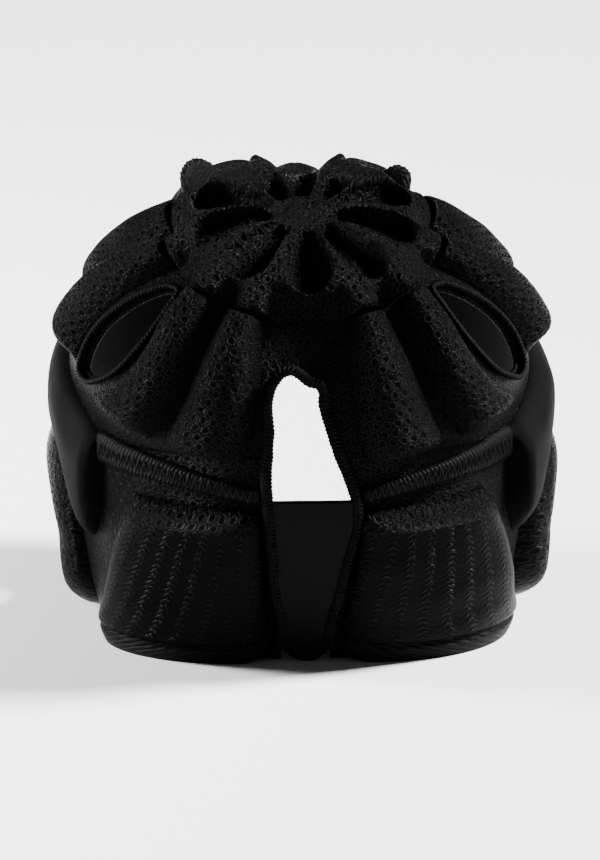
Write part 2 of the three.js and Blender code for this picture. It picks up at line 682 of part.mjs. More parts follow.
for (const [name, side] of [["left", -1], ["right", 1]]) {
  const onSide = (rows, askew = 0) => (side > 0 ? rows : mirrored(rows, askew));
  add(`back_rib_inner_${name}`, padFromRows(onSide(INNER_BACK_RIB, INNER_LEFT_ASKEW), onRibs, 5), BLACK_MESH);
  add(`back_rib_outer_${name}`, padFromRows(onSide(OUTER_BACK_RIB, OUTER_LEFT_ASKEW), onRibs, 5), BLACK_MESH);
  add(`side_rib_${name}`, padFromRows(onSide(SIDE_RIB), onRibs, 5), BLACK_MESH);
  add(`upper_side_rib_${name}`, padFromRows(onSide(UPPER_SIDE_RIB), onRibs, 5), BLACK_MESH);
  add(`front_rib_${name}`, padFromRows(onSide(FRONT_RIB), onRibs, 5), BLACK_MESH);
  add(`brow_pad_${name}`, padFromRows(onSide(BROW_SIDE), onUpright, 6), BLACK_MESH);
  add(`nape_pad_${name}`, napePad(side), BLACK_KNIT);
  add(`ear_top_panel_${name}`, padFromRows(EAR_TOP_PANEL, panelPlace(side), 5), BLACK_MESH);
  add(`ear_pad_${name}`, earPad(side), BLACK_MESH);
  add(`seam_band_${name}`, seamBand(side), BLACK_BINDING);
  add(`back_vent_binding_${name}`, ventBinding(BACK_VENT, side, 1.5), BLACK_BINDING);
}

export default helmet;
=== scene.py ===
import math
import bpy
import bmesh
import numpy as np
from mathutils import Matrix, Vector


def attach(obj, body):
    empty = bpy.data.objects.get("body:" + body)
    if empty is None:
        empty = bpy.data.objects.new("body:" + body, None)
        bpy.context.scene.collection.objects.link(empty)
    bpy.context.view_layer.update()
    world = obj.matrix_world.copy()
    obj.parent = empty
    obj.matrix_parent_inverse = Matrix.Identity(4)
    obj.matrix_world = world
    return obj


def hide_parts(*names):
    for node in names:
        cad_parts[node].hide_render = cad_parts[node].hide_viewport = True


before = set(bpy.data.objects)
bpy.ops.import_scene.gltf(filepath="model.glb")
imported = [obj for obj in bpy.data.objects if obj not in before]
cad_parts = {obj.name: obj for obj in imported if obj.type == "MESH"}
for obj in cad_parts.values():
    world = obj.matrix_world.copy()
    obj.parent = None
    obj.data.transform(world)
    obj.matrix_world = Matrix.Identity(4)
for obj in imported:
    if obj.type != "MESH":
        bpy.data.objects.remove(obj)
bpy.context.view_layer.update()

MM = 0.001
DEGREES = 57.3  # in one radian
HEX_SLANT = 0.8660254  # half the square root of 3

# The form, in millimetres, as in the part's source.
WIDTH, DEPTH = 208.0, 216.0
GIRTH, RISE, TUCK = 86.0, 96.0, 168.0
GIRTH_SQUARE, EDGE_SQUARE, DOME_SQUARE = 2.4, 3.2, 2.2
RIB_TILT, CROWN_TILT = 22.0, 28.0
PAD, WALL = 9.0, 3.0
SEAT = -PAD
LINING = SEAT - WALL
UNDER = SEAT + 0.15  # underside of the padded pieces
STRAP_TOP = 69.0
HUB_DOWN, PETAL_END, CROWN_EDGE = 6.0, 26.5, 32.0
PETALS = 10
CROWN_RADIUS, WALL_RADIUS = 97, 95  # for laying the cloth flat

rng = np.random.default_rng(7)


def arr(*values):
    return np.broadcast_arrays(*[np.asarray(v, float) for v in values])


def plan_scale(z, level):
    off = z - GIRTH
    low = np.sqrt(np.clip(1 - (off / TUCK) ** 2, 0, 1))
    high = np.clip(1 - (np.abs(off) / (RISE + level)) ** DOME_SQUARE, 0, 1) ** (1 / DOME_SQUARE)
    return np.where(off < 0, low, high)


def squareness(z):
    below = np.clip(1 - z / GIRTH, 0, 1)
    return GIRTH_SQUARE + (EDGE_SQUARE - GIRTH_SQUARE) * below ** 1.5


def at_height(turn, z, level):
    turn, z, level = arr(turn, z, level)
    across, along = np.sin(np.radians(turn)), -np.cos(np.radians(turn))
    n, k = squareness(z), np.maximum(plan_scale(z, level), 1e-6)
    a, b = (WIDTH / 2 + level) * k, (DEPTH / 2 + level) * k
    r = ((np.abs(across) / a) ** n + (np.abs(along) / b) ** n) ** (-1 / n)
    return np.stack([r * across, r * along, z], -1)


def along_direction(d, level):
    level = np.broadcast_to(np.asarray(level, float), d.shape[:-1])
    flat = np.maximum(np.hypot(d[..., 0], d[..., 1]), 1e-9)
    turn = np.degrees(np.arctan2(d[..., 0], -d[..., 1]))
    girth = at_height(turn, np.full(turn.shape, GIRTH), level)
    plan = np.hypot(girth[..., 0], girth[..., 1])
    p = DOME_SQUARE
    reach = ((flat / plan) ** p + (np.maximum(d[..., 2], 0) / (RISE + level)) ** p) ** (-1 / p)
    upper = d * reach[..., None] + np.array([0, 0, GIRTH])
    point = girth
    for _ in range(12):
        reach = np.hypot(point[..., 0], point[..., 1]) / flat
        point = at_height(turn, GIRTH + reach * np.minimum(d[..., 2], 0), level)
    return np.where(d[..., 2:3] >= 0, upper, point)


def round_axis(lean):
    sine, cosine = math.sin(math.radians(lean)), math.cos(math.radians(lean))

    def place(around, down, level):
        around, down, level = arr(around, down, level)
        s = np.sin(np.radians(down))
        across, back = s * np.sin(np.radians(around)), s * np.cos(np.radians(around))
        along = np.cos(np.radians(down))
        d = np.stack([across, -along * sine - back * cosine, along * cosine - back * sine], -1)
        return along_direction(d, level)

    return place


on_ribs, on_crown, upright = round_axis(RIB_TILT), round_axis(CROWN_TILT), round_axis(0)


def across_at(x, z, level, side=-1):
    x, z, level = arr(x, z, level)
    n, k = squareness(z), plan_scale(z, level)
    share = np.minimum(1, np.abs(x) / ((WIDTH / 2 + level) * k))
    y = side * (DEPTH / 2 + level) * k * (1 - share ** n) ** (1 / n)
    return np.stack([x, y, z], -1)


# Small tools for profiles

def smoothstep(x, a, b):
    t = np.clip((x - a) / (b - a), 0, 1)
    return t * t * (3 - 2 * t)


def curve_through(x, xs, ys):
    """Smooth interpolation that keeps to the table's values and never overshoots much."""
    x, xs, ys = np.asarray(x, float), np.asarray(xs, float), np.asarray(ys, float)
    slope = np.gradient(ys, xs)
    i = np.clip(np.searchsorted(xs, x) - 1, 0, len(xs) - 2)
    h = xs[i + 1] - xs[i]
    t = np.clip((x - xs[i]) / h, 0, 1)
    a, b = ys[i], ys[i + 1]
    ma, mb = slope[i] * h, slope[i + 1] * h
    first = (2 * t**3 - 3 * t**2 + 1) * a + (t**3 - 2 * t**2 + t) * ma
    return first + (-2 * t**3 + 3 * t**2) * b + (t**3 - t**2) * mb


WAVES = [(rng.normal(size=3), rng.uniform(0, 6.28), s) for s in np.geomspace(0.035, 0.22, 14)]


def lumps(points):
    """Slow unevenness of hand-sewn foam, about -1 to 1."""
    total = np.zeros(points.shape[:-1])
    for direction, phase, scale in WAVES:
        total += np.sin(points @ (direction * scale) + phase) * (0.035 / scale) ** 0.5
    return total / 3.2


CELL = 4.1  # honeycomb, across the flats
CORD = 1.15  # elastic, from one rib to the next


def honeycomb(u, v):
    """Height 0..1 of the embossed mesh at a place on the cloth."""
    r = np.array([1.0, math.sqrt(3)])
    p = np.stack([u, v], -1) / CELL
    a = np.mod(p, r) - r / 2
    b = np.mod(p - r / 2, r) - r / 2
    near = (a**2).sum(-1) < (b**2).sum(-1)
    g = np.abs(np.where(near[..., None], a, b))
    d = np.maximum(g[..., 0] * 0.5 + g[..., 1] * HEX_SLANT, g[..., 0])
    return smoothstep(d, 0.14, 0.34) * (1 - 0.75 * smoothstep(d, 0.39, 0.5))


# Mesh building

def grid_faces(nu, nv, start=0, flip=False, wrap=False):
    i, j = np.meshgrid(np.arange(nu if wrap else nu - 1), np.arange(nv - 1), indexing="ij")
    a = start + i * nv + j
    b = start + ((i + 1) % nu) * nv + j
    quad = np.stack([a, b, b + 1, a + 1], -1).reshape(-1, 4)
    return quad[:, ::-1] if flip else quad


def surface_uv(points):
    """Distances over a grid of points, in millimetres, from the middle of its first side."""
    du = np.linalg.norm(np.diff(points, axis=0), axis=-1)
    u = np.concatenate([np.zeros((1, points.shape[1])), np.cumsum(du, 0)], 0)
    u -= u[-1:] / 2
    middle = points[points.shape[0] // 2]
    v = np.concatenate([[0], np.cumsum(np.linalg.norm(np.diff(middle, axis=0), axis=-1))])
    return np.stack([u, np.broadcast_to(v, u.shape)], -1)


def build(name, points, faces, uv, materials, index=None):
    mesh = bpy.data.meshes.new(name)
    points = points.reshape(-1, 3) * MM
    mesh.vertices.add(len(points))
    mesh.vertices.foreach_set("co", points.ravel())
    faces = np.asarray(faces)
    mesh.loops.add(faces.size)
    mesh.loops.foreach_set("vertex_index", faces.ravel())
    mesh.polygons.add(len(faces))
    mesh.polygons.foreach_set("loop_start", np.arange(0, faces.size, faces.shape[1]))
    mesh.polygons.foreach_set("use_smooth", np.ones(len(faces), bool))
    if index is not None:
        mesh.polygons.foreach_set("material_index", np.asarray(index, np.int32))
    mesh.update(calc_edges=True)
    layer = mesh.uv_layers.new(name="cloth")
    layer.data.foreach_set("uv", (uv.reshape(-1, 2)[faces.ravel()] / 10).ravel())
    for material in materials:
        mesh.materials.append(material)
    mesh.validate()
    obj = bpy.data.objects.new(name, mesh)
    bpy.context.collection.objects.link(obj)
    bm = bmesh.new()
    bm.from_mesh(mesh)
    if bm.calc_volume(signed=True) < 0:
        bmesh.ops.reverse_faces(bm, faces=bm.faces)
        bm.to_mesh(mesh)
    bm.free()
    return obj


def close_ends(obj, count, total, turn_last=False, smooth=True):
    """Caps the first and the last ring of a grid whose rings have count points."""
    bm = bmesh.new()
    bm.from_mesh(obj.data)
    bm.verts.ensure_lookup_table()
    for ring in (0, total - 1):
        corners = [bm.verts[i * total + ring] for i in range(count)]
        face = bm.faces.new(corners[::-1] if ring and turn_last else corners)
        if smooth:
            face.smooth = True
    bmesh.ops.recalc_face_normals(bm, faces=bm.faces)
    bm.to_mesh(obj.data)
    bm.free()


def slab(name, top, under, materials, uv=None, rows=None):
    """A closed padded piece between two grids of points; rows gives a material for each row."""
    nu, nv = top.shape[:2]
    uv = surface_uv(top) if uv is None else uv
    points = np.concatenate([top.reshape(-1, 3), under.reshape(-1, 3)])
    n = nu * nv
    sheets = [grid_faces(nu, nv), grid_faces(nu, nv, n, flip=True)]
    rim = np.concatenate([
        np.arange(nv), (np.arange(1, nu)) * nv + nv - 1,
        (nu - 1) * nv + np.arange(nv - 2, -1, -1), np.arange(nu - 2, 0, -1) * nv,
    ])
    after = np.roll(rim, -1)
    sheets.append(np.stack([rim, after, after + n, rim + n], -1))
    faces = np.concatenate(sheets)
    index = None
    if rows is not None:
        index = np.zeros(len(faces), int)
        index[: len(sheets[0])] = np.tile(rows, nu - 1)
    return build(name, points, faces, np.concatenate([uv.reshape(-1, 2)] * 2), materials, index)


def finish_piece(obj, nodes):
    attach(obj, "root")
    if nodes:
        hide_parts(*nodes)
    return obj


# Materials

def new_material(name):
    material = bpy.data.materials.new(name)
    material.use_nodes = True
    tree = material.node_tree
    shader = tree.nodes["Principled BSDF"]
    return material, tree, shader


class Graph:
    """Short names for the shader nodes that the cloths share."""

    def __init__(self, tree):
        self.tree = tree
        self.uv = self.node("ShaderNodeUVMap", uv_map="cloth").outputs[0]
        scaled = self.node("ShaderNodeVectorMath", operation="SCALE")
        self.link(self.uv, scaled.inputs[0])
        scaled.inputs[3].default_value = 10.0
        self.mm = scaled.outputs[0]
        self.place = self.node("ShaderNodeTexCoord").outputs["Object"]

    def node(self, kind, **settings):
        made = self.tree.nodes.new(kind)
        for key, value in settings.items():
            setattr(made, key, value)
        return made

    def link(self, a, b):
        self.tree.links.new(a, b)

    def put(self, socket, value):
        if isinstance(value, bpy.types.NodeSocket):
            self.link(value, socket)
        else:
            socket.default_value = value

    def math(self, operation, a, b=0.0, c=0.0):
        made = self.node("ShaderNodeMath", operation=operation)
        for socket, value in zip(made.inputs, (a, b, c)):
            self.put(socket, value)
        return made.outputs[0]

    def vector(self, operation, a, b=(0, 0, 0)):
        made = self.node("ShaderNodeVectorMath", operation=operation)
        self.put(made.inputs[0], a)
        self.put(made.inputs[1], b)
        return made.outputs[1] if operation in ("DOT_PRODUCT", "LENGTH") else made.outputs[0]

    def parts(self, vector):
        return self.node_after("ShaderNodeSeparateXYZ", vector).outputs

    def node_after(self, kind, value, **settings):
        made = self.node(kind, **settings)
        self.link(value, made.inputs[0])
        return made

    def noise(self, vector, scale, detail=2.0, rough=0.5):
        made = self.node("ShaderNodeTexNoise")
        self.link(vector, made.inputs["Vector"])
        made.inputs["Scale"].default_value = scale
        made.inputs["Detail"].default_value = detail
        made.inputs["Roughness"].default_value = rough
        return made.outputs[0]

    def step(self, value, low, high, to_low=0.0, to_high=1.0):
        made = self.node("ShaderNodeMapRange", interpolation_type="SMOOTHSTEP")
        self.link(value, made.inputs[0])
        for k, number in zip((1, 2, 3, 4), (low, high, to_low, to_high)):
            made.inputs[k].default_value = number
        return made.outputs[0]

    def ramp(self, value, stops):
        made = self.node_after("ShaderNodeValToRGB", value)
        ramp = made.color_ramp
        ramp.elements[0].position, ramp.elements[1].position = stops[0][0], stops[-1][0]
        ramp.elements[0].color, ramp.elements[1].color = (*stops[0][1], 1), (*stops[-1][1], 1)
        for position, color in stops[1:-1]:
            ramp.elements.new(position).color = (*color, 1)
        return made.outputs[0]

    def bump(self, height, distance):
        made = self.node("ShaderNodeBump")
        made.inputs["Strength"].default_value = 1.0
        made.inputs["Distance"].default_value = distance * MM
        self.link(height, made.inputs["Height"])
        return made.outputs[0]

    def folded(self, value):
        """Distance, 0 to 0.5, from the middle of each unit step of a value."""
        return self.math("ABSOLUTE", self.math("SUBTRACT", self.math("FRACT", value), 0.5))


def set_cloth(shader, roughness, specular):
    shader.inputs["Roughness"].default_value = roughness
    shader.inputs["Metallic"].default_value = 0.0
    shader.inputs["Specular IOR Level"].default_value = specular


def hex_distance(g):
    """0 in the middle of a honeycomb cell, 0.5 at its edge."""
    wobble = g.node("ShaderNodeTexNoise")
    g.link(g.mm, wobble.inputs["Vector"])
    wobble.inputs["Scale"].default_value = 0.16
    shift = g.vector("SCALE", g.vector("SUBTRACT", wobble.outputs["Color"], (0.5, 0.5, 0.5)))
    shift.node.inputs[3].default_value = 1.3
    p = g.vector("DIVIDE", g.vector("ADD", g.mm, shift), (CELL, CELL, 1))
    p = g.vector("MULTIPLY", p, (1, 1, 0))
    r, half = (1, math.sqrt(3), 1), (0.5, math.sqrt(3) / 2, 0)
    a = g.vector("SUBTRACT", g.vector("WRAP", p, r), half)
    a.node.inputs[0].links[0].from_node.inputs[2].default_value = (0, 0, 0)
    b = g.vector("SUBTRACT", g.vector("WRAP", g.vector("SUBTRACT", p, half), r), half)
    b.node.inputs[0].links[0].from_node.inputs[2].default_value = (0, 0, 0)
    near = g.math("LESS_THAN", g.vector("DOT_PRODUCT", a, a), g.vector("DOT_PRODUCT", b, b))
    pick = g.node("ShaderNodeMix", data_type="VECTOR")
    g.link(near, pick.inputs[0])
    g.link(b, pick.inputs[4])
    g.link(a, pick.inputs[5])
    q = g.vector("ABSOLUTE", pick.outputs[1])
    slant = g.vector("DOT_PRODUCT", q, (0.5, HEX_SLANT, 0))
    return g.math("MAXIMUM", slant, g.parts(q)[0])


def honeycomb_cloth(name, dark, light, relief=0.75):
    material, tree, shader = new_material(name)
    g = Graph(tree)
    d = hex_distance(g)
    rise = g.step(d, 0.12, 0.33)
    fall = g.step(d, 0.39, 0.5, 1.0, 0.3)
    ring = g.math("MULTIPLY", rise, fall)
    loops = g.noise(g.mm, 1.5, 2.5, 0.65)
    threads = g.noise(g.vector("MULTIPLY", g.mm, (1.0, 2.6, 1.0)), 1.9, 2.0, 0.6)
    rough_ring = g.math("MULTIPLY", ring, g.step(loops, 0.3, 0.62, 0.25, 1.0))
    height = g.math("MULTIPLY_ADD", threads, 0.42, rough_ring)
    patch = g.noise(g.place, 18.0, 3.0, 0.55)
    # Base colour follows the weave's height: darker in the cell middles and between threads as painted shade in
    # the hollows, lighter on the raised rings, times random patchy tone.
    shade = g.math("MULTIPLY", g.step(height, 0.25, 1.15), g.step(patch, 0.3, 0.7, 0.75, 1.1))
    between = [0.86 * a + 0.14 * b for a, b in zip(dark, light)]
    g.link(g.ramp(shade, [(0.0, dark), (0.5, between), (1.0, light)]), shader.inputs["Base Color"])
    g.link(g.bump(height, relief), shader.inputs["Normal"])
    set_cloth(shader, 0.25, 0.022)
    return material


def chevron_cloth(name, dark, light):
    """Knit in upright columns of V-shaped stitches."""
    material, tree, shader = new_material(name)
    g = Graph(tree)
    wobble = g.math("MULTIPLY", g.math("SUBTRACT", g.noise(g.mm, 0.35, 2.0), 0.5), 0.9)
    u, v = g.parts(g.mm)[0], g.parts(g.mm)[1]
    column = g.math("MULTIPLY", g.math("ADD", u, wobble), 1 / 6.4)
    across = g.folded(column)
    rows = g.math("ADD", g.math("MULTIPLY", g.math("ADD", v, wobble), 1 / 2.3), g.math("MULTIPLY", across, 2.0))
    stitch = g.folded(rows)
    leg = g.step(stitch, 0.08, 0.42, 1.0, 0.0)
    apex = g.step(across, 0.1, 0.27, 1.0, 0.16)
    odd = g.step(g.noise(g.mm, 0.6, 2.0, 0.6), 0.4, 0.58, 0.12, 1.0)
    knit = g.math("MULTIPLY", g.math("MULTIPLY", leg, apex), odd)
    threads = g.noise(g.mm, 2.4, 2.0, 0.6)
    height = g.math("MULTIPLY_ADD", threads, 0.5, knit)
    patch = g.noise(g.place, 22.0, 3.0, 0.55)
    # Base colour follows the knit's height: darker between the stitches as painted shade in the hollows,
    # lighter on the raised legs, times random patchy tone.
    shade = g.math("MULTIPLY", g.step(height, 0.25, 1.2), g.step(patch, 0.3, 0.7, 0.7, 1.1))
    g.link(g.ramp(shade, [(0.0, dark), (1.0, light)]), shader.inputs["Base Color"])
    g.link(g.bump(height, 0.6), shader.inputs["Normal"])
    set_cloth(shader, 0.3, 0.018)
    return material


def jersey_cloth(name, dark, light, pitch=1.1, relief=0.18):
    """Fine plain knit for panels and lining."""
    material, tree, shader = new_material(name)
    g = Graph(tree)
    u, v = g.parts(g.mm)[0], g.parts(g.mm)[1]
    across = g.folded(g.math("MULTIPLY", u, 1 / pitch))
    rows = g.math("ADD", g.math("MULTIPLY", v, 1.3 / pitch), g.math("MULTIPLY", across, 1.2))
    leg = g.folded(rows)
    knit = g.math("MULTIPLY", g.step(leg, 0.05, 0.45, 1.0, 0.0), g.step(across, 0.3, 0.5, 1.0, 0.3))
    fuzz = g.noise(g.mm, 3.0, 2.0, 0.6)
    height = g.math("MULTIPLY_ADD", fuzz, 0.4, knit)
    patch = g.noise(g.place, 25.0, 3.0)
    # Base colour follows the knit's height: darker between the loops as painted shade in the hollows, times
    # random patchy tone.
    shade = g.math("MULTIPLY", g.step(height, 0.2, 1.2), g.step(patch, 0.3, 0.7, 0.75, 1.1))
    g.link(g.ramp(shade, [(0.0, dark), (1.0, light)]), shader.inputs["Base Color"])
    g.link(g.bump(height, relief), shader.inputs["Normal"])
    set_cloth(shader, 0.6, 0.02)
    return material


def elastic_cloth(name, dark, light):
    """Ribbed webbing: fine cords along the strap with a weave across them."""
    material, tree, shader = new_material(name)
    g = Graph(tree)
    u, v = g.parts(g.mm)[0], g.parts(g.mm)[1]
    cord = g.folded(g.math("MULTIPLY", u, 1 / CORD))
    ridge = g.step(cord, 0.1, 0.5, 1.0, 0.0)
    odd = g.math("MULTIPLY", g.math("FLOOR", g.math("MULTIPLY", u, 1 / CORD)), 0.5)
    pick = g.folded(g.math("ADD", g.math("MULTIPLY", v, 1 / 0.9), odd))
    weave = g.math("MULTIPLY", g.step(pick, 0.05, 0.45, 1.0, 0.25), ridge)
    height = g.math("MULTIPLY_ADD", g.noise(g.mm, 4.0, 2.0), 0.25, weave)
    # Base colour follows the weave's height: darker between the cords as painted shade in the grooves.
    shade = g.step(height, 0.1, 1.1)
    g.link(g.ramp(shade, [(0.0, dark), (1.0, light)]), shader.inputs["Base Color"])
    g.link(g.bump(height, 0.22), shader.inputs["Normal"])
    set_cloth(shader, 0.5, 0.03)
    return material


def binding_cloth(name, dark, light, pitch=1.7):
    """Stretch binding wrapped with slanting overlock threads."""
    material, tree, shader = new_material(name)
    g = Graph(tree)
    u, v = g.parts(g.mm)[0], g.parts(g.mm)[1]
    slant = g.math("MULTIPLY", g.math("ADD", v, g.math("MULTIPLY", u, 0.45)), 1 / pitch)
    wobble = g.math("MULTIPLY", g.noise(g.mm, 0.5, 2.0), 0.7)
    thread = g.folded(g.math("ADD", slant, wobble))
    wrap = g.step(thread, 0.05, 0.34, 1.0, 0.0)
    height = g.math("MULTIPLY_ADD", g.noise(g.mm, 3.0, 2.0, 0.6), 0.45, wrap)
    # Base colour follows the wrap's height: darker between the overlock threads as painted shade in the gaps.
    shade = g.step(height, 0.2, 1.25)
    g.link(g.ramp(shade, [(0.0, dark), (1.0, light)]), shader.inputs["Base Color"])
    g.link(g.bump(height, 0.45), shader.inputs["Normal"])
    set_cloth(shader, 0.45, 0.03)
    return material


def thread_material(name, color):
    material, tree, shader = new_material(name)
    g = Graph(tree)
    twist = g.noise(g.place, 2600.0, 1.0)
    # The same noise sets the twist's bump and its colour: darker in the grooves of the twist as painted shade.
    g.link(g.ramp(twist, [(0.3, [c * 0.5 for c in color]), (0.7, color)]), shader.inputs["Base Color"])
    g.link(g.bump(twist, 0.12), shader.inputs["Normal"])
    set_cloth(shader, 0.4, 0.05)
    return material


# Each cloth's first colour goes in the low parts of its weave and its second on the raised threads, so the dark
# end is partly painted shade in the hollows.
BLACK = (0.0002, 0.0002, 0.00022)
MESH = honeycomb_cloth("honeycomb_mesh", BLACK, (0.0064, 0.0065, 0.007))
KNIT = chevron_cloth("chevron_knit", BLACK, (0.0042, 0.0042, 0.0046))
JERSEY = jersey_cloth("plain_jersey", BLACK, (0.0015, 0.0015, 0.0016))
LINER = jersey_cloth("lining_knit", (0.0002, 0.0002, 0.00025), (0.001, 0.001, 0.0011), 1.4)
BINDING = binding_cloth("overlock_binding", (0.0002, 0.0002, 0.00025), (0.0017, 0.0017, 0.0019))
ELASTIC = elastic_cloth("ribbed_elastic", (0.0003, 0.0003, 0.00035), (0.0016, 0.0016, 0.0018))
THREAD = thread_material("stitching_thread", (0.005, 0.005, 0.0054))


# Padded pieces laid on the shell

def pad(name, rows, place, size, cloth=None, relief=0.42, plateau=2.5, step=0.62, ends=(7.0, 7.0),
        under_crown=False, bulge=(0.0, 0.0)):
    """rows: (at, from, to). The pad swells from nothing at its edge to its full thickness."""
    at, low, high = np.array(rows, float).T
    nu, nv = max(12, int(size[0] / step)), max(12, int(size[1] / step))
    s = np.linspace(-1, 1, nu)
    along = np.linspace(0, 1, nv)
    start = np.full(nu, at[0])
    if under_crown:
        for _ in range(3):
            middle = curve_through(start, at, low) * (1 - s) / 2 + curve_through(start, at, high) * (1 + s) / 2
            start = crown_edge_on_ribs(middle)
    t = start[:, None] + along[None] * (at[-1] - start)[:, None]
    left, right = curve_through(t, at, low), curve_through(t, at, high)
    key = left + (s[:, None] + 1) / 2 * (right - left)
    first_end = 1 - (1 - np.clip(along * size[1] / ends[0], 0, 1)) ** 2.4
    last_end = 1 - (1 - np.clip((1 - along) * size[1] / ends[1], 0, 1)) ** 2.4
    fullness = (1 - np.abs(s[:, None]) ** plateau) ** 0.85 * (first_end * last_end)[None]
    level = UNDER + 0.05 + (-UNDER - 0.05) * fullness
    base = place(key, t, level)
    uv = surface_uv(base)
    level = level + 0.55 * lumps(base) * smoothstep(fullness, 0.15, 0.7)
    if relief:
        cells = honeycomb(uv[..., 0], uv[..., 1]) - 0.55
        level = level + relief * cells * smoothstep(fullness, 0.08, 0.45)
    level = level + np.interp(along, [0, 1], bulge)[None] * smoothstep(fullness, 0.2, 0.95)
    top = place(key, t, level)
    under = place(key, t, np.full(key.shape, UNDER))
    return finish_piece(slab(name, top, under, [cloth or MESH], uv), [name])


def crown_place(d):
    """Turn and angle down of a direction, seen from the crown's own axis."""
    sine, cosine = math.sin(math.radians(CROWN_TILT)), math.cos(math.radians(CROWN_TILT))
    along = -d[..., 1] * sine + d[..., 2] * cosine
    back = -d[..., 1] * cosine - d[..., 2] * sine
    return np.degrees(np.arctan2(d[..., 0], back)), np.degrees(np.arccos(np.clip(along, -1, 1)))


def rib_direction(around, down):
    point = on_ribs(around, down, np.zeros(np.shape(around))) - np.array([0, 0, GIRTH])
    return point / np.linalg.norm(point, axis=-1, keepdims=True)


def crown_edge_on_ribs(around):
    """The angle down on the ribs' axis at which the crown ends."""
    low, high = np.full(np.shape(around), 15.0), np.full(np.shape(around), 50.0)
    for _ in range(22):
        middle = (low + high) / 2
        inside = crown_place(rib_direction(around, middle))[1] < CROWN_EDGE + 0.4
        low, high = np.where(inside, middle, low), np.where(inside, high, middle)
    return low


def turned(rows, askew=0.0):
    return [(at, -b - askew, -a - askew) for at, a, b in rows]


INNER_BACK = [(36.5, 13.5, 27.5), (40.5, 13, 28), (44.5, 12.5, 28.5), (50.5, 11.5, 29.5),
              (58, 11.5, 30.5), (65, 12, 32), (70.5, 13.5, 33.5)]
OUTER_BACK = [(35.5, 34, 46.5), (39.5, 33, 47), (44, 32.7, 47.5), (51, 32.5, 47), (58, 33, 48.5),
              (65, 35, 53.5), (70.5, 38, 60)]
SIDE = [(31, 60, 78), (36, 63.5, 82), (42, 67.5, 86), (49, 71.5, 90), (57, 75, 93), (65, 77, 95),
        (71, 77, 96)]
UPPER_SIDE = [(29, 88, 112), (36, 90, 113.5), (43, 92, 115), (51, 95, 117), (59, 97, 119),
              (66, 98.5, 120)]
FRONT = [(25, 150, 162.5), (35, 149.5, 164), (43, 149, 165), (53, 145.5, 165), (62, 144, 165),
         (69, 143, 165)]
CENTRE_FRONT = [(24, 171.5, 188.5), (33, 171, 189), (42, 170, 190), (55, 169, 191), (64, 168, 192),
                (71, 168, 192)]
BROW_CENTRE = [(55, 156, 204), (62, 154, 206), (72, 153, 207), (82.5, 153, 207)]
BROW_SIDE = [(54.5, 122, 151), (61, 120, 151), (71, 121, 150.5), (82, 126, 150.5)]
EAR_TOP = [(51.5, 55, 86), (55.5, 44, 90), (60.5, 44, 94), (65, 57, 97), (69, 67, 99), (75, 74, 101),
           (81, 77, 103), (91, 78, 106), (102, 80, 109), (110, 85, 112)]

pad("front_rib_centre", CENTRE_FRONT, on_ribs, (36, 66), step=0.85, ends=(30, 7), under_crown=True,
    bulge=(-3.4, -2.0))
pad("brow_pad_centre", BROW_CENTRE, upright, (90, 48), step=0.85, plateau=5)
for side, word in ((-1, "left"), (1, "right")):
    def on_side(rows, askew=0.0):
        return rows if side > 0 else turned(rows, askew)

    pad(f"back_rib_inner_{word}", on_side(INNER_BACK, 2), on_ribs, (32, 58), ends=(2.2, 7), under_crown=True)
    pad(f"back_rib_outer_{word}", on_side(OUTER_BACK, 1), on_ribs, (28, 60), ends=(2.2, 7),
        under_crown=True)
    pad(f"side_rib_{word}", on_side(SIDE), on_ribs, (29, 66), ends=(2.2, 7), under_crown=True,
        bulge=(0, 4) if side > 0 else (0, 2))
    pad(f"upper_side_rib_{word}", on_side(UPPER_SIDE), on_ribs, (32, 62), ends=(2.2, 7), under_crown=True,
        bulge=(1, -1.5) if side > 0 else (0, -2.5))
    pad(f"front_rib_{word}", on_side(FRONT), on_ribs, (30, 68), step=0.85, ends=(2.6, 7), under_crown=True)
    pad(f"brow_pad_{word}", on_side(BROW_SIDE), upright, (54, 48), step=0.85, plateau=5)

    def panel_place(height, turn, level, side=side):
        return at_height(side * turn, height, level)

    pad(f"ear_top_panel_{word}", EAR_TOP, panel_place, (30, 104), cloth=JERSEY, relief=0, step=0.8,
        plateau=3.0, bulge=(0.6, 0.6) if side > 0 else (-1.6, -1.6))


# Crown

PETAL_TURNS = rng.normal(0, 1.6, PETALS)
PETAL_DEPTHS = rng.uniform(0.88, 1.05, PETALS)
RIB_SPANS = []
for rows in (INNER_BACK, OUTER_BACK, SIDE, UPPER_SIDE, FRONT):
    for side in (-1, 1):
        keys = np.array([rows[0][1], rows[0][2]], float) * side
        turns = crown_place(rib_direction(keys, crown_edge_on_ribs(keys)))[0]
        RIB_SPANS.append((turns.mean(), np.ptp(turns) / 2))


def turn_apart(a, b):
    return (a - b + 180) % 360 - 180


def rib_under_edge(around):
    """1 where a rib runs on below the crown's edge, 0 in the channels."""
    mask = np.zeros(np.shape(around))
    for middle, half in RIB_SPANS:
        x = np.clip(np.abs(turn_apart(around, middle)) / (half * 1.05), 0, 1)
        mask = np.maximum(mask, (1 - x ** 2.6) ** 0.9)
    return mask


def laid_flat(around, down, radius):
    """Places on the cloth of a dome, laid flat round its middle."""
    reach = down / DEGREES * radius
    return np.stack([reach * np.sin(np.radians(around)), reach * np.cos(np.radians(around))], -1)


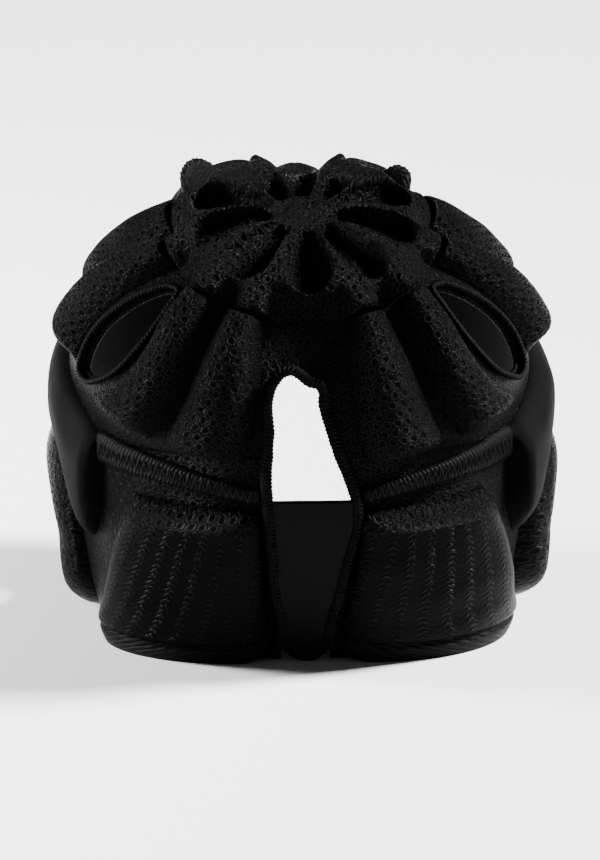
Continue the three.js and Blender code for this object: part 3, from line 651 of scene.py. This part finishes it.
def crown_relief(around, down):
    climb = smoothstep(down, 2.5, 15)
    away = np.abs(turn_apart(around, 180))
    lobe = 4.0 * smoothstep(away, 9, 20) * (1 - smoothstep(away, 50, 78))
    notch = 3.4 * (1 - smoothstep(away, 5, 20))
    ridge = -5.4 + 5.2 * climb + (lobe - notch) * smoothstep(down, 8, 24)
    along = np.clip((down - HUB_DOWN) / (PETAL_END - HUB_DOWN), 0, 1)
    spacing = 360 / PETALS
    which = np.round(around / spacing).astype(int) % PETALS
    offset = np.abs(turn_apart(around, which * spacing + PETAL_TURNS[which]))
    narrowing = np.sqrt(np.clip(1 - (np.clip(along - 0.66, 0, 1) / 0.34) ** 2, 0, 1))
    width = (17.8 - 3.8 * along) * narrowing + 1e-3
    off = np.clip(offset / width, 0, 1)
    hollow = (1 - off ** 3.2) ** 0.75 * smoothstep(along, 0, 0.2) * PETAL_DEPTHS[which]
    hollow = hollow * (1 - 0.97 * smoothstep(along, 0.2, 0.55) * (np.abs(which - PETALS // 2) == 1))
    return ridge - hollow * (ridge - (SEAT + 1.6))


def crown():
    nu, nv = 460, 92
    around = np.linspace(0, 360, nu, endpoint=False)
    down = np.linspace(0.15, CROWN_EDGE, nv)
    a, d = np.meshgrid(around - 180, down, indexing="ij")
    radius = on_crown(a, d, np.zeros_like(a))
    uv = laid_flat(a, d, CROWN_RADIUS)
    level = crown_relief(a, d)
    edge = smoothstep(d, CROWN_EDGE - 8, CROWN_EDGE)
    slope = level * (1 - edge) + (UNDER + 1.2) * edge
    turn_in = np.clip((d - CROWN_EDGE + 1.5) / 1.5, 0, 1) ** 2.4
    roll = level * (1 - turn_in) - 2.9 * turn_in
    over = rib_under_edge(a)
    level = slope * (1 - over) + roll * over
    edge = np.where(over > 0.5, turn_in, edge)
    level = level + 0.5 * lumps(radius) * (1 - edge)
    level = level + 0.42 * (honeycomb(uv[..., 0], uv[..., 1]) - 0.55) * (1 - edge)
    top = on_crown(a, d, level)
    under_down = np.array([CROWN_EDGE, 24, 16, 8, 0.15])
    ua, ud = np.meshgrid(around - 180, under_down, indexing="ij")
    under = on_crown(ua, ud, np.full(ua.shape, UNDER))
    points = np.concatenate([top, under], 1)
    both = np.concatenate([uv, laid_flat(ua, ud, CROWN_RADIUS)], 1)
    total = points.shape[1]
    faces = grid_faces(nu, total, wrap=True)
    obj = build("crown_panel", points, faces, both, [MESH])
    close_ends(obj, nu, total, turn_last=True)
    return finish_piece(obj, ["crown_panel"])


crown()

# Back gap

GAP = np.array([(0, 9, 6.5), (35, 11.5, 11), (69, 14, 16), (78, 14.5, 13), (88, 14, 9), (98, 13.5, 6),
                (107, 14, 3.5), (112, 12.5, 1), (115.5, 9.5, -2.5)], float)
BINDING_R = 2.1
KEYHOLE_TOP = [(5.5, 111.5), (4.2, 114.0), (0.0, 115.3), (-3.2, 117.8), (-6.5, 119.3), (-10.5, 118.3),
               (-13.4, 115.2)]


def gap_reach(side, z):
    return np.interp(z, GAP[:, 0], GAP[:, 2 if side > 0 else 1])


def resample(points, step, closed=False):
    """Even steps along a smooth curve through the points."""
    p = np.asarray(points, float)
    if closed:
        p = np.concatenate([p, p[:1]])
    length = np.concatenate([[0], np.cumsum(np.linalg.norm(np.diff(p, axis=0), axis=1))])
    count = max(8, int(length[-1] / step))
    at = np.linspace(0, length[-1], count + 1)
    if closed:
        period = length[-1]
        xs = np.concatenate([length[:-1] - period, length, length[1:] + period])
        ps = np.concatenate([p[:-1], p, p[1:]])
    else:
        xs, ps = length, p
    out = np.stack([curve_through(at, xs, ps[:, k]) for k in range(3)], -1)
    return out[:-1] if closed else out


def tube(name, path, radius, material, closed=False, sides=14, wrap=0.0, pitch=1.7):
    """A tube along a path; wrap is how far overlock threads stand out."""
    p = np.asarray(path, float)
    tangent = np.roll(p, -1, 0) - np.roll(p, 1, 0) if closed else np.gradient(p, axis=0)
    tangent /= np.linalg.norm(tangent, axis=1, keepdims=True)
    out = p - np.array([0, 0, GIRTH])
    normal = out - (out * tangent).sum(1, keepdims=True) * tangent
    normal /= np.linalg.norm(normal, axis=1, keepdims=True)
    binormal = np.cross(tangent, normal)
    steps = np.linalg.norm(np.diff(p, axis=0, append=p[:1] if closed else p[-1:]), axis=1)
    s = np.concatenate([[0], np.cumsum(steps)[:-1]])
    angle = np.linspace(0, 2 * np.pi, sides, endpoint=False)
    r = np.full((sides, len(p)), float(radius))
    if wrap:
        r *= 1 + wrap * np.sin(2 * np.pi * s[None] / pitch + angle[:, None]) + 0.06 * lumps(p * 6)[None]
    if not closed:
        end = np.minimum(s, s[-1] - s) / radius
        r *= np.sqrt(np.clip(1 - (1 - np.clip(end, 0, 1)) ** 2, 0.03, 1))[None]
    c, sn = np.cos(angle)[:, None, None], np.sin(angle)[:, None, None]
    points = p[None] + r[..., None] * (c * normal[None] + sn * binormal[None])
    uv = np.stack([np.broadcast_to(angle[:, None] * radius, r.shape), np.broadcast_to(s[None], r.shape)], -1)
    n = len(p)
    i = np.arange(sides)
    faces = grid_faces(sides, n, wrap=True)
    if closed:
        join = np.stack([i * n + n - 1, (i + 1) % sides * n + n - 1, (i + 1) % sides * n, i * n], -1)
        faces = np.concatenate([faces, join])
    obj = build(name, points, faces, uv, [material])
    if not closed:
        close_ends(obj, sides, n)
    return obj


def back_path(level=SEAT + 0.6 + BINDING_R):
    low = [(4.2, 1.9), (6, 0.6)]
    heights = low + [(z, 0) for z in GAP[1:7, 0]]
    edge = {side: [across_at(side * (gap_reach(side, z) + BINDING_R + more), z, level) for z, more in heights]
            for side in (1, -1)}
    top = [across_at(x, z, level) for x, z in KEYHOLE_TOP]
    return resample(edge[1] + top + edge[-1][::-1], 0.42)


BACK_PATH = back_path()
finish_piece(tube("back_binding", BACK_PATH, BINDING_R + 0.1, BINDING, wrap=0.1, pitch=1.5),
             ["back_binding"])


# Nape pads

NAPE = np.array([(0, 53.5, 56), (8, 54, 57), (20, 50.5, 53), (32, 47, 49.5), (44, 44, 46),
                 (55, 41, 42.5), (63, 39, 40)], float)


def nape_pad(side, word):
    nu, nv = 96, 108
    s = np.linspace(0, 1, nu)
    z = np.concatenate([np.linspace(0, 6, 14)[:-1], np.linspace(6, 63, nv - 13)])
    inner_x = gap_reach(side, z) + 2 * BINDING_R + 0.7
    inner_p = across_at(inner_x, z, SEAT)
    inner = np.degrees(np.arctan2(inner_p[:, 0], -inner_p[:, 1]))
    outer = curve_through(z, NAPE[:, 0], NAPE[:, 2 if side > 0 else 1]) + (2.0 if side > 0 else 1.0)
    outer = outer + (4.0 if side > 0 else 2.0) * smoothstep(-z, -20, -6)
    turn = inner[None] + s[:, None] * (outer - inner)[None]
    round_in = np.sqrt(1 - np.clip((0.17 - s) / 0.17, 0, 1) ** 2)
    round_out = np.sqrt(1 - np.clip((s - 0.94) / 0.06, 0, 1) ** 2)
    lift = 9 * (1 - round_in) + 1.5 * (1 - round_out)
    squeeze = np.clip(1 - z / 24, 0, 1) ** 1.5
    height = z[None] + 4 * z[None] * turn / (63 * 40) + lift[:, None] * squeeze[None]
    e = 2 * s[:, None] - 1
    flat = (1 - np.abs(e) ** 7) ** 0.55
    top_round = (1 - np.clip(1 - (63 - z) / 9, 0, 1) ** 2.2) ** 0.6
    foot = 0.97 - 0.07 * np.clip(1 - z / 5, 0, 1) ** 2
    hem = 1 - 0.16 * np.exp(-((z - 7.2) / 1.1) ** 2)
    full = flat * (top_round * foot * hem)[None]
    level = UNDER + 0.1 + (PAD - 0.3) * full
    base = at_height(side * turn, height, level)
    lean = (63 - z) * 0.12
    u = e * (24 + 4 * z / 63)[None] * (1 + 0.16 * (1 - z / 63))[None] + lean[None] * side
    uv = np.stack([u, np.broadcast_to(z, turn.shape)], -1)
    level = level + 0.7 * lumps(base) * smoothstep(full, 0.3, 0.9) * smoothstep(z, 8, 18)[None]
    top = at_height(side * turn, height, level)
    under = at_height(side * turn, height, np.full(turn.shape, UNDER))
    rows = np.where(z[:-1] < 7.0, 1, np.where(z[:-1] > 54.5, 2, 0))
    obj = slab(f"nape_pad_{word}", top, under, [KNIT, BINDING, MESH], uv, rows)
    return finish_piece(obj, [f"nape_pad_{word}"])


for side, word in ((-1, "left"), (1, "right")):
    nape_pad(side, word)

# Ear pads: a rounded ring round the ear hole

EAR_TURN, EAR_Z, EAR_DT, EAR_DZ, HOLE, EAR_SQ = 93.0, 37.0, 27.0, 37.0, 0.36, 3.4


def ear_point(side, angle, share, level):
    power = 2 + (EAR_SQ - 2) * np.clip((share - HOLE) / (1 - HOLE), 0, 1)
    c, s = np.cos(angle), np.sin(angle)
    x = np.sign(c) * np.abs(c) ** (2 / power)
    y = np.sign(s) * np.abs(s) ** (2 / power)
    return at_height(side * (EAR_TURN + share * EAR_DT * x), np.maximum(0, EAR_Z + share * EAR_DZ * y), level)


def ear_pad(side, word):
    nu, nv = 190, 40
    angle = np.linspace(0, 2 * np.pi, nu, endpoint=False)
    t = np.linspace(0, 1, nv)
    share = HOLE + (1 - HOLE) * t
    a, sh = np.meshgrid(angle, share, indexing="ij")
    tt = np.broadcast_to(t, a.shape)
    full = (1 - np.abs(2 * tt ** 0.85 - 1) ** 3.0) ** 0.6
    base = ear_point(side, a, sh, SEAT + PAD * full)
    flat = ear_point(side, a, sh, np.full(a.shape, SEAT))
    u = np.arctan2(flat[..., 1], flat[..., 0] * side) * 95
    uv = np.stack([u, flat[..., 2]], -1)
    level = UNDER + 0.1 + (PAD - 0.3) * full + 0.6 * lumps(base) * full
    level = level + 0.35 * (honeycomb(uv[..., 0], uv[..., 1]) - 0.55) * smoothstep(full, 0.4, 0.9)
    level = level + (3.4 if side > 0 else 0.2) * smoothstep(full, 0.2, 0.95)
    low_back = smoothstep(-flat[..., 2], -40, -10) * smoothstep(-flat[..., 1], -12, 20)
    level = level + (5.6 if side > 0 else 3.6) * full * low_back
    top = ear_point(side, a, sh, level)
    back = ear_point(side, a[:, ::-8], sh[:, ::-8], np.full(a[:, ::-8].shape, UNDER))
    points = np.concatenate([top, back, top[:, :1]], 1)
    total = points.shape[1]
    both = np.concatenate([uv, uv[:, ::-8], uv[:, :1]], 1)
    obj = build(f"ear_pad_{word}", points, grid_faces(nu, total, wrap=True), both, [MESH])
    bm = bmesh.new()
    bm.from_mesh(obj.data)
    bmesh.ops.remove_doubles(bm, verts=bm.verts, dist=1e-6)
    bmesh.ops.recalc_face_normals(bm, faces=bm.faces)
    bm.to_mesh(obj.data)
    bm.free()
    return finish_piece(obj, [f"ear_pad_{word}"])


for side, word in ((-1, "left"), (1, "right")):
    ear_pad(side, word)

# Nape strap: ribbed elastic with a rounded tip


def nape_strap():
    nu, nv = 130, 70
    s = np.linspace(-1, 1, nu)
    row = np.linspace(0, 1, nv) ** 1.2
    share, r = np.meshgrid(s, row, indexing="ij")
    height = r * STRAP_TOP + 7 * share**2 * (1 - r) ** 3
    low = BACK_PATH[BACK_PATH[:, 2] < 80]
    half = {}
    for side in (1, -1):
        edge = low[low[:, 0] * side > 0]
        edge = edge[np.argsort(edge[:, 2])]
        half[side] = np.interp(height, edge[:, 2], np.abs(edge[:, 0])) - BINDING_R * 0.82
    half = np.where(share > 0, half[1], half[-1])
    x = share * half
    middle = SEAT + 0.6 + BINDING_R
    ribs = 0.16 * np.cos(2 * np.pi * x / CORD)
    top = across_at(x, height, middle + 0.9 + ribs + 0.35 * lumps(across_at(x, height, 0)))
    under = across_at(x, height, np.full(x.shape, middle - 0.9))
    uv = np.stack([x, height], -1)
    return finish_piece(slab("nape_strap", top, under, [ELASTIC], uv), ["nape_strap"])


nape_strap()

# Chin strap

CHIN_FORWARD = 70


def chin_strap():
    level = LINING - 0.65 - 1.2
    wall = [at_height(-t, 0, level) * [1, 1, 0] for t in (104, 110.5, 117)]
    end = wall[-1]
    side = wall + [np.array([0.72 * end[0], end[1] + 0.72 * (CHIN_FORWARD - end[1]), 0]),
                   np.array([0.3 * end[0], CHIN_FORWARD, 0])]
    other = [p * [-1, 1, 1] for p in side][::-1]
    line = resample(side + other, 0.9)
    tangent = np.gradient(line, axis=0)
    tangent /= np.linalg.norm(tangent, axis=1, keepdims=True)
    out = np.stack([tangent[:, 1], -tangent[:, 0], np.zeros(len(line))], -1)
    v = np.concatenate([[0], np.cumsum(np.linalg.norm(np.diff(line, axis=0), axis=1))])
    z = np.linspace(0.05, 18, 40)
    edge = np.clip(1 - np.abs(z - 9) / 9, 0, 1)
    thick = 1.15 * np.minimum(1, 0.55 + edge * 4)
    ribs = 0.1 * np.cos(2 * np.pi * z / CORD)
    lift = np.stack([0 * z, 0 * z, z], -1)[:, None]
    top = line[None] + out[None] * (thick + ribs)[:, None, None] + lift
    under = line[None] - out[None] * thick[:, None, None] + lift
    uv = np.stack([np.broadcast_to(z[:, None], top.shape[:2]), np.broadcast_to(v[None], top.shape[:2])], -1)
    return finish_piece(slab("chin_strap", top, under, [ELASTIC], uv), ["chin_strap"])


chin_strap()

# Shell with its openings, cut from two smooth walls


def lathe_shell():
    nu = 200
    down = np.linspace(0.2, 90, 92)
    heights = np.linspace(GIRTH, 0, 76)[1:]
    turn = np.linspace(0, 360, nu, endpoint=False) - 180

    def wall(level):
        t, d = np.meshgrid(turn, down, indexing="ij")
        upper = upright(t, d, np.full(t.shape, level))
        t2, z = np.meshgrid(turn, heights, indexing="ij")
        return np.concatenate([upper, at_height(t2, z, np.full(t2.shape, level))], 1)

    outer, inner = wall(SEAT), wall(LINING)
    t, d = np.meshgrid(turn, down, indexing="ij")
    flat = laid_flat(t, d, WALL_RADIUS)
    t2, z = np.meshgrid(turn, heights, indexing="ij")
    low = np.stack([np.radians(t2) * 92, z - 300], -1)
    uv = np.concatenate([flat, low], 1)
    points = np.concatenate([outer, inner[:, ::-1]], 1)
    both = np.concatenate([uv, uv[:, ::-1]], 1)
    total = points.shape[1]
    faces = grid_faces(nu, total, wrap=True)
    obj = build("shell_base", points, faces, both, [MESH, LINER, BINDING])
    close_ends(obj, nu, total, smooth=False)
    return obj


def prism(name, outline, axis, low, high):
    """A closed prism: outline points (p, q) extruded along axis 0 or 1."""
    outline = np.asarray(outline, float)
    n = len(outline)
    rings = []
    for depth in (low, high):
        ring = np.zeros((n, 3))
        ring[:, axis] = depth
        ring[:, 1 - axis] = outline[:, 0]
        ring[:, 2] = outline[:, 1]
        rings.append(ring)
    return hull_of(name, np.stack(rings, 1))


def hull_of(name, points):
    """Closes a ring-by-depth grid of points (n, 2, 3) into a solid."""
    n = len(points)
    mesh = bpy.data.meshes.new(name)
    bm = bmesh.new()
    verts = [[bm.verts.new(p * MM) for p in pair] for pair in points]
    for i in range(n):
        a, b = verts[i], verts[(i + 1) % n]
        bm.faces.new([a[0], b[0], b[1], a[1]])
    bm.faces.new([v[0] for v in verts][::-1])
    bm.faces.new([v[1] for v in verts])
    bmesh.ops.triangulate(bm, faces=[f for f in bm.faces if len(f.verts) > 4])
    bmesh.ops.recalc_face_normals(bm, faces=bm.faces)
    if bm.calc_volume(signed=True) < 0:
        bmesh.ops.reverse_faces(bm, faces=bm.faces)
    bm.to_mesh(mesh)
    bm.free()
    obj = bpy.data.objects.new(name, mesh)
    bpy.context.collection.objects.link(obj)
    return obj


BACK_VENT = [(39, 51, 56), (43, 50, 62), (49, 50, 67), (55, 51.5, 70.5), (61, 54.5, 72.5),
             (66, 60, 72.5), (69, 65, 71.5)]
FRONT_VENT = [(43, 126, 134), (48, 122, 138), (56, 122, 138), (63, 125, 136)]


CUT_LEVELS = (12.0, LINING - 12)


def vent_outline(rows, side):
    corners = [(r[2], r[0]) for r in rows] + [(r[1], r[0]) for r in rows][::-1]
    loop = resample([(side * a, d, 0.0) for a, d in corners], 1.0, closed=True)
    return loop[:, 0], loop[:, 1]


def vent_cutter(name, rows, side):
    around, down = vent_outline(rows, side)
    ends = [on_ribs(around, down, np.full(around.shape, level)) for level in CUT_LEVELS]
    return hull_of(name, np.stack(ends, 1))


def face_cutters():
    def bezier(a, b, c, n=14):
        t = np.linspace(0, 1, n)[:, None]
        return (1 - t) ** 2 * np.array(a) + 2 * t * (1 - t) * np.array(b) + t * t * np.array(c)

    right, left = bezier((66, 60), (66, 95), (0, 95)), bezier((0, 95), (-66, 95), (-66, 60))
    arch = np.concatenate([[(66, -20)], right, left[1:], [(-66, -20)]])
    cheeks = np.concatenate([[(216, -20), (32, -20)], bezier((34, 0), (42, 62), (80, 66)), [(216, 66)]])
    return [prism("cut_face", arch, 1, 34, 250), prism("cut_cheeks", cheeks, 0, -156, 156)]


def shell():
    obj = lathe_shell()
    cutters = face_cutters()
    edge = [(x, z) for x, _, z in BACK_PATH[::12] if z > 8]
    outline = [(edge[0][0], -20)] + edge + [(edge[-1][0], -20)]
    cutters.append(prism("cut_keyhole", outline, 1, -118, 0))
    angle = np.linspace(0, 2 * np.pi, 56, endpoint=False)
    for side, word in ((-1, "left"), (1, "right")):
        cutters.append(vent_cutter(f"cut_back_{word}", BACK_VENT, side))
        cutters.append(vent_cutter(f"cut_front_{word}", FRONT_VENT, side))
        hole = [ear_point(side, angle, np.full(angle.shape, HOLE), np.full(angle.shape, level))
                for level in CUT_LEVELS]
        cutters.append(hull_of(f"cut_ear_{word}", np.stack(hole, 1)))
    for cutter in cutters:
        change = obj.modifiers.new("cut", "BOOLEAN")
        change.operation = "DIFFERENCE"
        change.solver = "EXACT"
        change.object = cutter
        bpy.context.view_layer.objects.active = obj
        obj.select_set(True)
        bpy.ops.object.modifier_apply(modifier=change.name)
        mesh = cutter.data
        bpy.data.objects.remove(cutter)
        bpy.data.meshes.remove(mesh)
    return obj


def wall_level(p):
    """How far a point lies outside (+) the shell's outer face, along the radius."""
    upper = p[:, 2] > GIRTH
    d = p - np.array([0, 0, GIRTH])
    r = np.linalg.norm(d, axis=1)
    outer = along_direction(d / np.maximum(r, 1e-9)[:, None], np.full(len(p), SEAT))
    up = r - np.linalg.norm(outer - np.array([0, 0, GIRTH]), axis=1)
    turn = np.degrees(np.arctan2(p[:, 0], -p[:, 1]))
    ring = at_height(turn, np.clip(p[:, 2], 0, 500), np.full(len(p), SEAT))
    low = np.hypot(p[:, 0], p[:, 1]) - np.hypot(ring[:, 0], ring[:, 1])
    return np.where(upper, up, low)


def shell_finish(obj):
    """Gives the walls their cloths and returns the loops of the outer edges of the openings."""
    mesh = obj.data
    centres = np.zeros(len(mesh.polygons) * 3)
    mesh.polygons.foreach_get("center", centres)
    centres = centres.reshape(-1, 3) / MM
    level = wall_level(centres)
    kind = np.where(level > -0.35, 0, np.where(level < -WALL * 0.85, 1, 2))
    mesh.polygons.foreach_set("material_index", kind.astype(np.int32))
    mesh.polygons.foreach_set("use_smooth", kind != 2)
    mesh.update()
    finish_piece(obj, ["shell_base"])
    bm = bmesh.new()
    bm.from_mesh(mesh)
    near = {}
    for edge in bm.edges:
        faces = edge.link_faces
        if len(faces) == 2 and {faces[0].material_index, faces[1].material_index} == {0, 2}:
            a, b = (np.array(v.co) / MM for v in edge.verts)
            if min(a[1], b[1]) > 18 and min(a[2], b[2]) > 0.4 and (abs(a[0]) > 56 or a[1] > 60 or a[2] > 70):
                near.setdefault(edge.verts[0].index, []).append(edge.verts[1].index)
                near.setdefault(edge.verts[1].index, []).append(edge.verts[0].index)
    bm.verts.ensure_lookup_table()
    places = {i: np.array(bm.verts[i].co) / MM for i in near}
    bm.free()
    chains, seen = [], set()
    for start in sorted(near, key=lambda i: len(near[i])):
        chain, here = [], start
        while here is not None and here not in seen:
            seen.add(here)
            chain.append(places[here])
            here = next((i for i in near[here] if i not in seen), None)
        if len(chain) > 5:
            chains.append(np.array(chain))
    return max(chains, key=lambda c: np.ptp(c[:, 0]) + np.ptp(c[:, 2]))


def even_line(points, step):
    length = np.concatenate([[0], np.cumsum(np.linalg.norm(np.diff(points, axis=0), axis=1))])
    at = np.linspace(0, length[-1], max(4, int(length[-1] / step)))
    return np.stack([np.interp(at, length, points[:, k]) for k in range(3)], -1)


face_edge = even_line(shell_finish(shell()), 5.0)


# Stitching and bound edges

def stitches(name, centre, sideways, outward, width, radius=0.22):
    """Zigzag thread along a line."""
    n = len(centre)
    zig = np.where(np.arange(n) % 2 == 0, 1.0, -1.0)[:, None]
    jitter = rng.normal(0, 0.12, (n, 1))
    path = centre + sideways * (zig * width / 2 + jitter) + outward * 0.12
    pieces, faces, start = [], [], 0
    k = 5
    angle = np.linspace(0, 2 * np.pi, k, endpoint=False)
    for i in range(n - 1):
        a, b = path[i], path[i + 1]
        t = (b - a) / np.linalg.norm(b - a)
        o = outward[i] - (outward[i] @ t) * t
        o /= np.linalg.norm(o)
        w = np.cross(t, o)
        rings = []
        for f in (0.0, 0.2, 0.5, 0.8, 1.0):
            lift = radius * 1.6 * math.sin(math.pi * f) - radius * 0.6
            size = radius * (0.7 + 0.3 * math.sin(math.pi * f))
            p = a + (b - a) * f + o * lift
            rings.append(p + size * (np.cos(angle)[:, None] * o + np.sin(angle)[:, None] * w))
        ring = np.stack(rings, 1)
        pieces.append(ring.reshape(-1, 3))
        faces.append(grid_faces(k, 5, start, wrap=True))
        start += k * 5
    points = np.concatenate(pieces)
    uv = np.zeros((len(points), 2))
    obj = build(name, points, np.concatenate(faces), uv, [THREAD])
    return finish_piece(obj, [])


SEAM = np.array([(13, 67.5, 73.5), (20, 69.5, 77), (29, 72, 81), (38, 74, 84.5), (49, 75, 88)], float)


def seam_band(side, word):
    nu, nv = 26, 160
    turn = np.linspace(11.9 if side > 0 else 10.9, 51.2, nv)
    low, high = curve_through(turn, SEAM[:, 0], SEAM[:, 1]), curve_through(turn, SEAM[:, 0], SEAM[:, 2])
    s = np.linspace(0, 1, nu)
    z = low[None] + s[:, None] * (high - low)[None]
    full = (1 - np.abs(2 * s[:, None] - 1) ** 4) ** 0.6
    level = UNDER + 0.1 + 2.3 * full * np.ones_like(z)
    t = np.broadcast_to(turn, z.shape)
    base = at_height(side * t, z, level)
    level = level + 0.35 * lumps(base * 2)
    top, under = at_height(side * t, z, level), at_height(side * t, z, np.full(z.shape, UNDER))
    obj = slab(f"seam_band_{word}", top, under, [BINDING])
    finish_piece(obj, [f"seam_band_{word}"])
    zt = np.linspace(12.6, 50.6, 52)
    zl, zh = curve_through(zt, SEAM[:, 0], SEAM[:, 1]), curve_through(zt, SEAM[:, 0], SEAM[:, 2])
    mid = at_height(side * zt, (zl + zh) / 2, np.full(zt.shape, UNDER + 2.5))
    upper = at_height(side * zt, zh, np.full(zt.shape, UNDER + 2.5))
    sideways = upper - mid
    width = np.linalg.norm(sideways, axis=1, keepdims=True)
    outward = mid - np.array([0, 0, GIRTH])
    outward /= np.linalg.norm(outward, axis=1, keepdims=True)
    stitches(f"seam_stitching_{word}", mid, sideways / width, outward, 4.6)


for side, word in ((-1, "left"), (1, "right")):
    seam_band(side, word)


def shrink(values, share):
    return values.mean() + (values - values.mean()) * share


def edge_tube(name, points, radius, nodes=(), closed=True, wrap=0.12, step=0.5):
    path = resample(points, step, closed=closed)
    obj = tube(name, path, radius, BINDING, closed=closed, wrap=wrap, sides=12)
    return finish_piece(obj, list(nodes))


for side, word in ((-1, "left"), (1, "right")):
    around, down = vent_outline(BACK_VENT, side)
    edge_tube(f"back_vent_binding_{word}", on_ribs(around, down, SEAT + 0.9), 1.15,
              [f"back_vent_binding_{word}"])
    inner = on_ribs(shrink(around, 0.93), shrink(down, 0.95), LINING + 0.4)
    edge_tube(f"back_vent_lining_{word}", inner, 1.0)
    around, down = vent_outline(FRONT_VENT, side)
    edge_tube(f"front_vent_binding_{word}", on_ribs(around, down, SEAT + 0.5), 1.2)
    angle = np.linspace(0, 2 * np.pi, 40, endpoint=False)
    rim = ear_point(side, angle, np.full(40, HOLE), np.full(40, SEAT - 0.6))
    edge_tube(f"ear_hole_binding_{word}", rim, 1.6)

inward = face_edge - np.array([0, 0, GIRTH])
inward /= np.linalg.norm(inward, axis=1, keepdims=True)
face_line = face_edge - inward * 1.5
face_line[:, 2] = np.maximum(face_line[:, 2], 2.2)
edge_tube("face_binding", face_line, 1.9, closed=False)

LEFT_LIP = [(35.5, -147, -128), (37.5, -148, -127), (39.5, -147, -128)]
RIGHT_LIP = [(35.5, 129, 143), (37.5, 128, 144), (39.5, 129, 143)]


def lip(name, rows, size, high):
    at, first, last = np.array(rows, float).T
    nu, nv = 46, 24
    s = np.linspace(-1, 1, nu)
    t = np.linspace(at[0], at[-1], nv)
    left, right = curve_through(t, at, first), curve_through(t, at, last)
    key = left[None] + (s[:, None] + 1) / 2 * (right - left)[None]
    along = np.abs(2 * (t - t[0]) / (t[-1] - t[0]) - 1)
    full = (1 - np.abs(s[:, None]) ** 2.6) ** 0.6 * (1 - along ** 3)[None] ** 0.6
    wraps = 1 + 0.035 * np.sin(s[:, None] * size / 1.3 * 6.28 + along[None] * 2)
    wraps = wraps + rng.normal(0, 0.018, (nu, 1))
    level = UNDER + 0.1 + high * full * wraps
    tt = np.broadcast_to(t, key.shape)
    obj = slab(name, on_ribs(key, tt, level), on_ribs(key, tt, np.full(key.shape, UNDER)), [BINDING])
    return finish_piece(obj, [name])


lip("vent_lip_left", LEFT_LIP, 9, 13.6)
lip("vent_lip_right", RIGHT_LIP, 7, 11.0)

# Floor, lights and camera

floor_mesh = bpy.data.meshes.new("floor")
floor_mesh.from_pydata([(-25, -25, 0), (25, -25, 0), (25, 25, 0), (-25, 25, 0)], [], [(0, 1, 2, 3)])
floor = bpy.data.objects.new("floor", floor_mesh)
bpy.context.collection.objects.link(floor)
paper, tree, shader = new_material("pale_floor")
shader.inputs["Base Color"].default_value = (0.86, 0.86, 0.865, 1)
shader.inputs["Roughness"].default_value = 0.75
floor_mesh.materials.append(paper)

world = bpy.data.worlds.new("studio")
bpy.context.scene.world = world
world.use_nodes = True
world.node_tree.nodes["Background"].inputs[0].default_value = (1, 1, 1, 1)
world.node_tree.nodes["Background"].inputs[1].default_value = 0.07


def area(name, place, aim, size, power):
    data = bpy.data.lights.new(name, "AREA")
    data.shape = "RECTANGLE"
    data.size, data.size_y = size
    data.energy = power
    obj = bpy.data.objects.new(name, data)
    bpy.context.collection.objects.link(obj)
    obj.location = place
    obj.rotation_euler = (Vector(aim) - Vector(place)).to_track_quat("-Z", "Y").to_euler()


def sun(name, toward, softness, strength):
    data = bpy.data.lights.new(name, "SUN")
    data.angle = math.radians(softness)
    data.energy = strength
    obj = bpy.data.objects.new(name, data)
    bpy.context.collection.objects.link(obj)
    obj.rotation_euler = Vector(toward).to_track_quat("Z", "Y").to_euler()


sun("key_right", (0.78, 0.16, 0.62), 12, 21)
area("rim_left", (-1.2, 0.22, 0.5), (0, 0, 0.09), (0.25, 0.6), 70)

azimuth, elevation, distance = math.radians(-2.5), math.radians(14.5), 1.3
back = Vector((math.sin(azimuth) * math.cos(elevation), -math.cos(azimuth) * math.cos(elevation),
               math.sin(elevation)))
target = Vector((0, 0, 0.086))
right = Vector((math.cos(azimuth), math.sin(azimuth), 0))
up = right.cross(-back)
PHOTO_WIDTH, PX_PER_MM = 600, 2.43
pixels = PX_PER_MM * 1300
# The photo's middle pixel looks a little beside and below the target.
aim = target + (right * (300 - 298) - up * (430 - 392)) * distance / pixels
camera_data = bpy.data.cameras.new("camera")
camera_data.sensor_fit = "HORIZONTAL"
camera_data.sensor_width = 36
camera_data.lens = pixels / PHOTO_WIDTH * camera_data.sensor_width
camera = bpy.data.objects.new("camera", camera_data)
bpy.context.collection.objects.link(camera)
camera.location = target + back * distance
camera.rotation_euler = (aim - camera.location).to_track_quat("-Z", "Y").to_euler()
bpy.context.scene.camera = camera
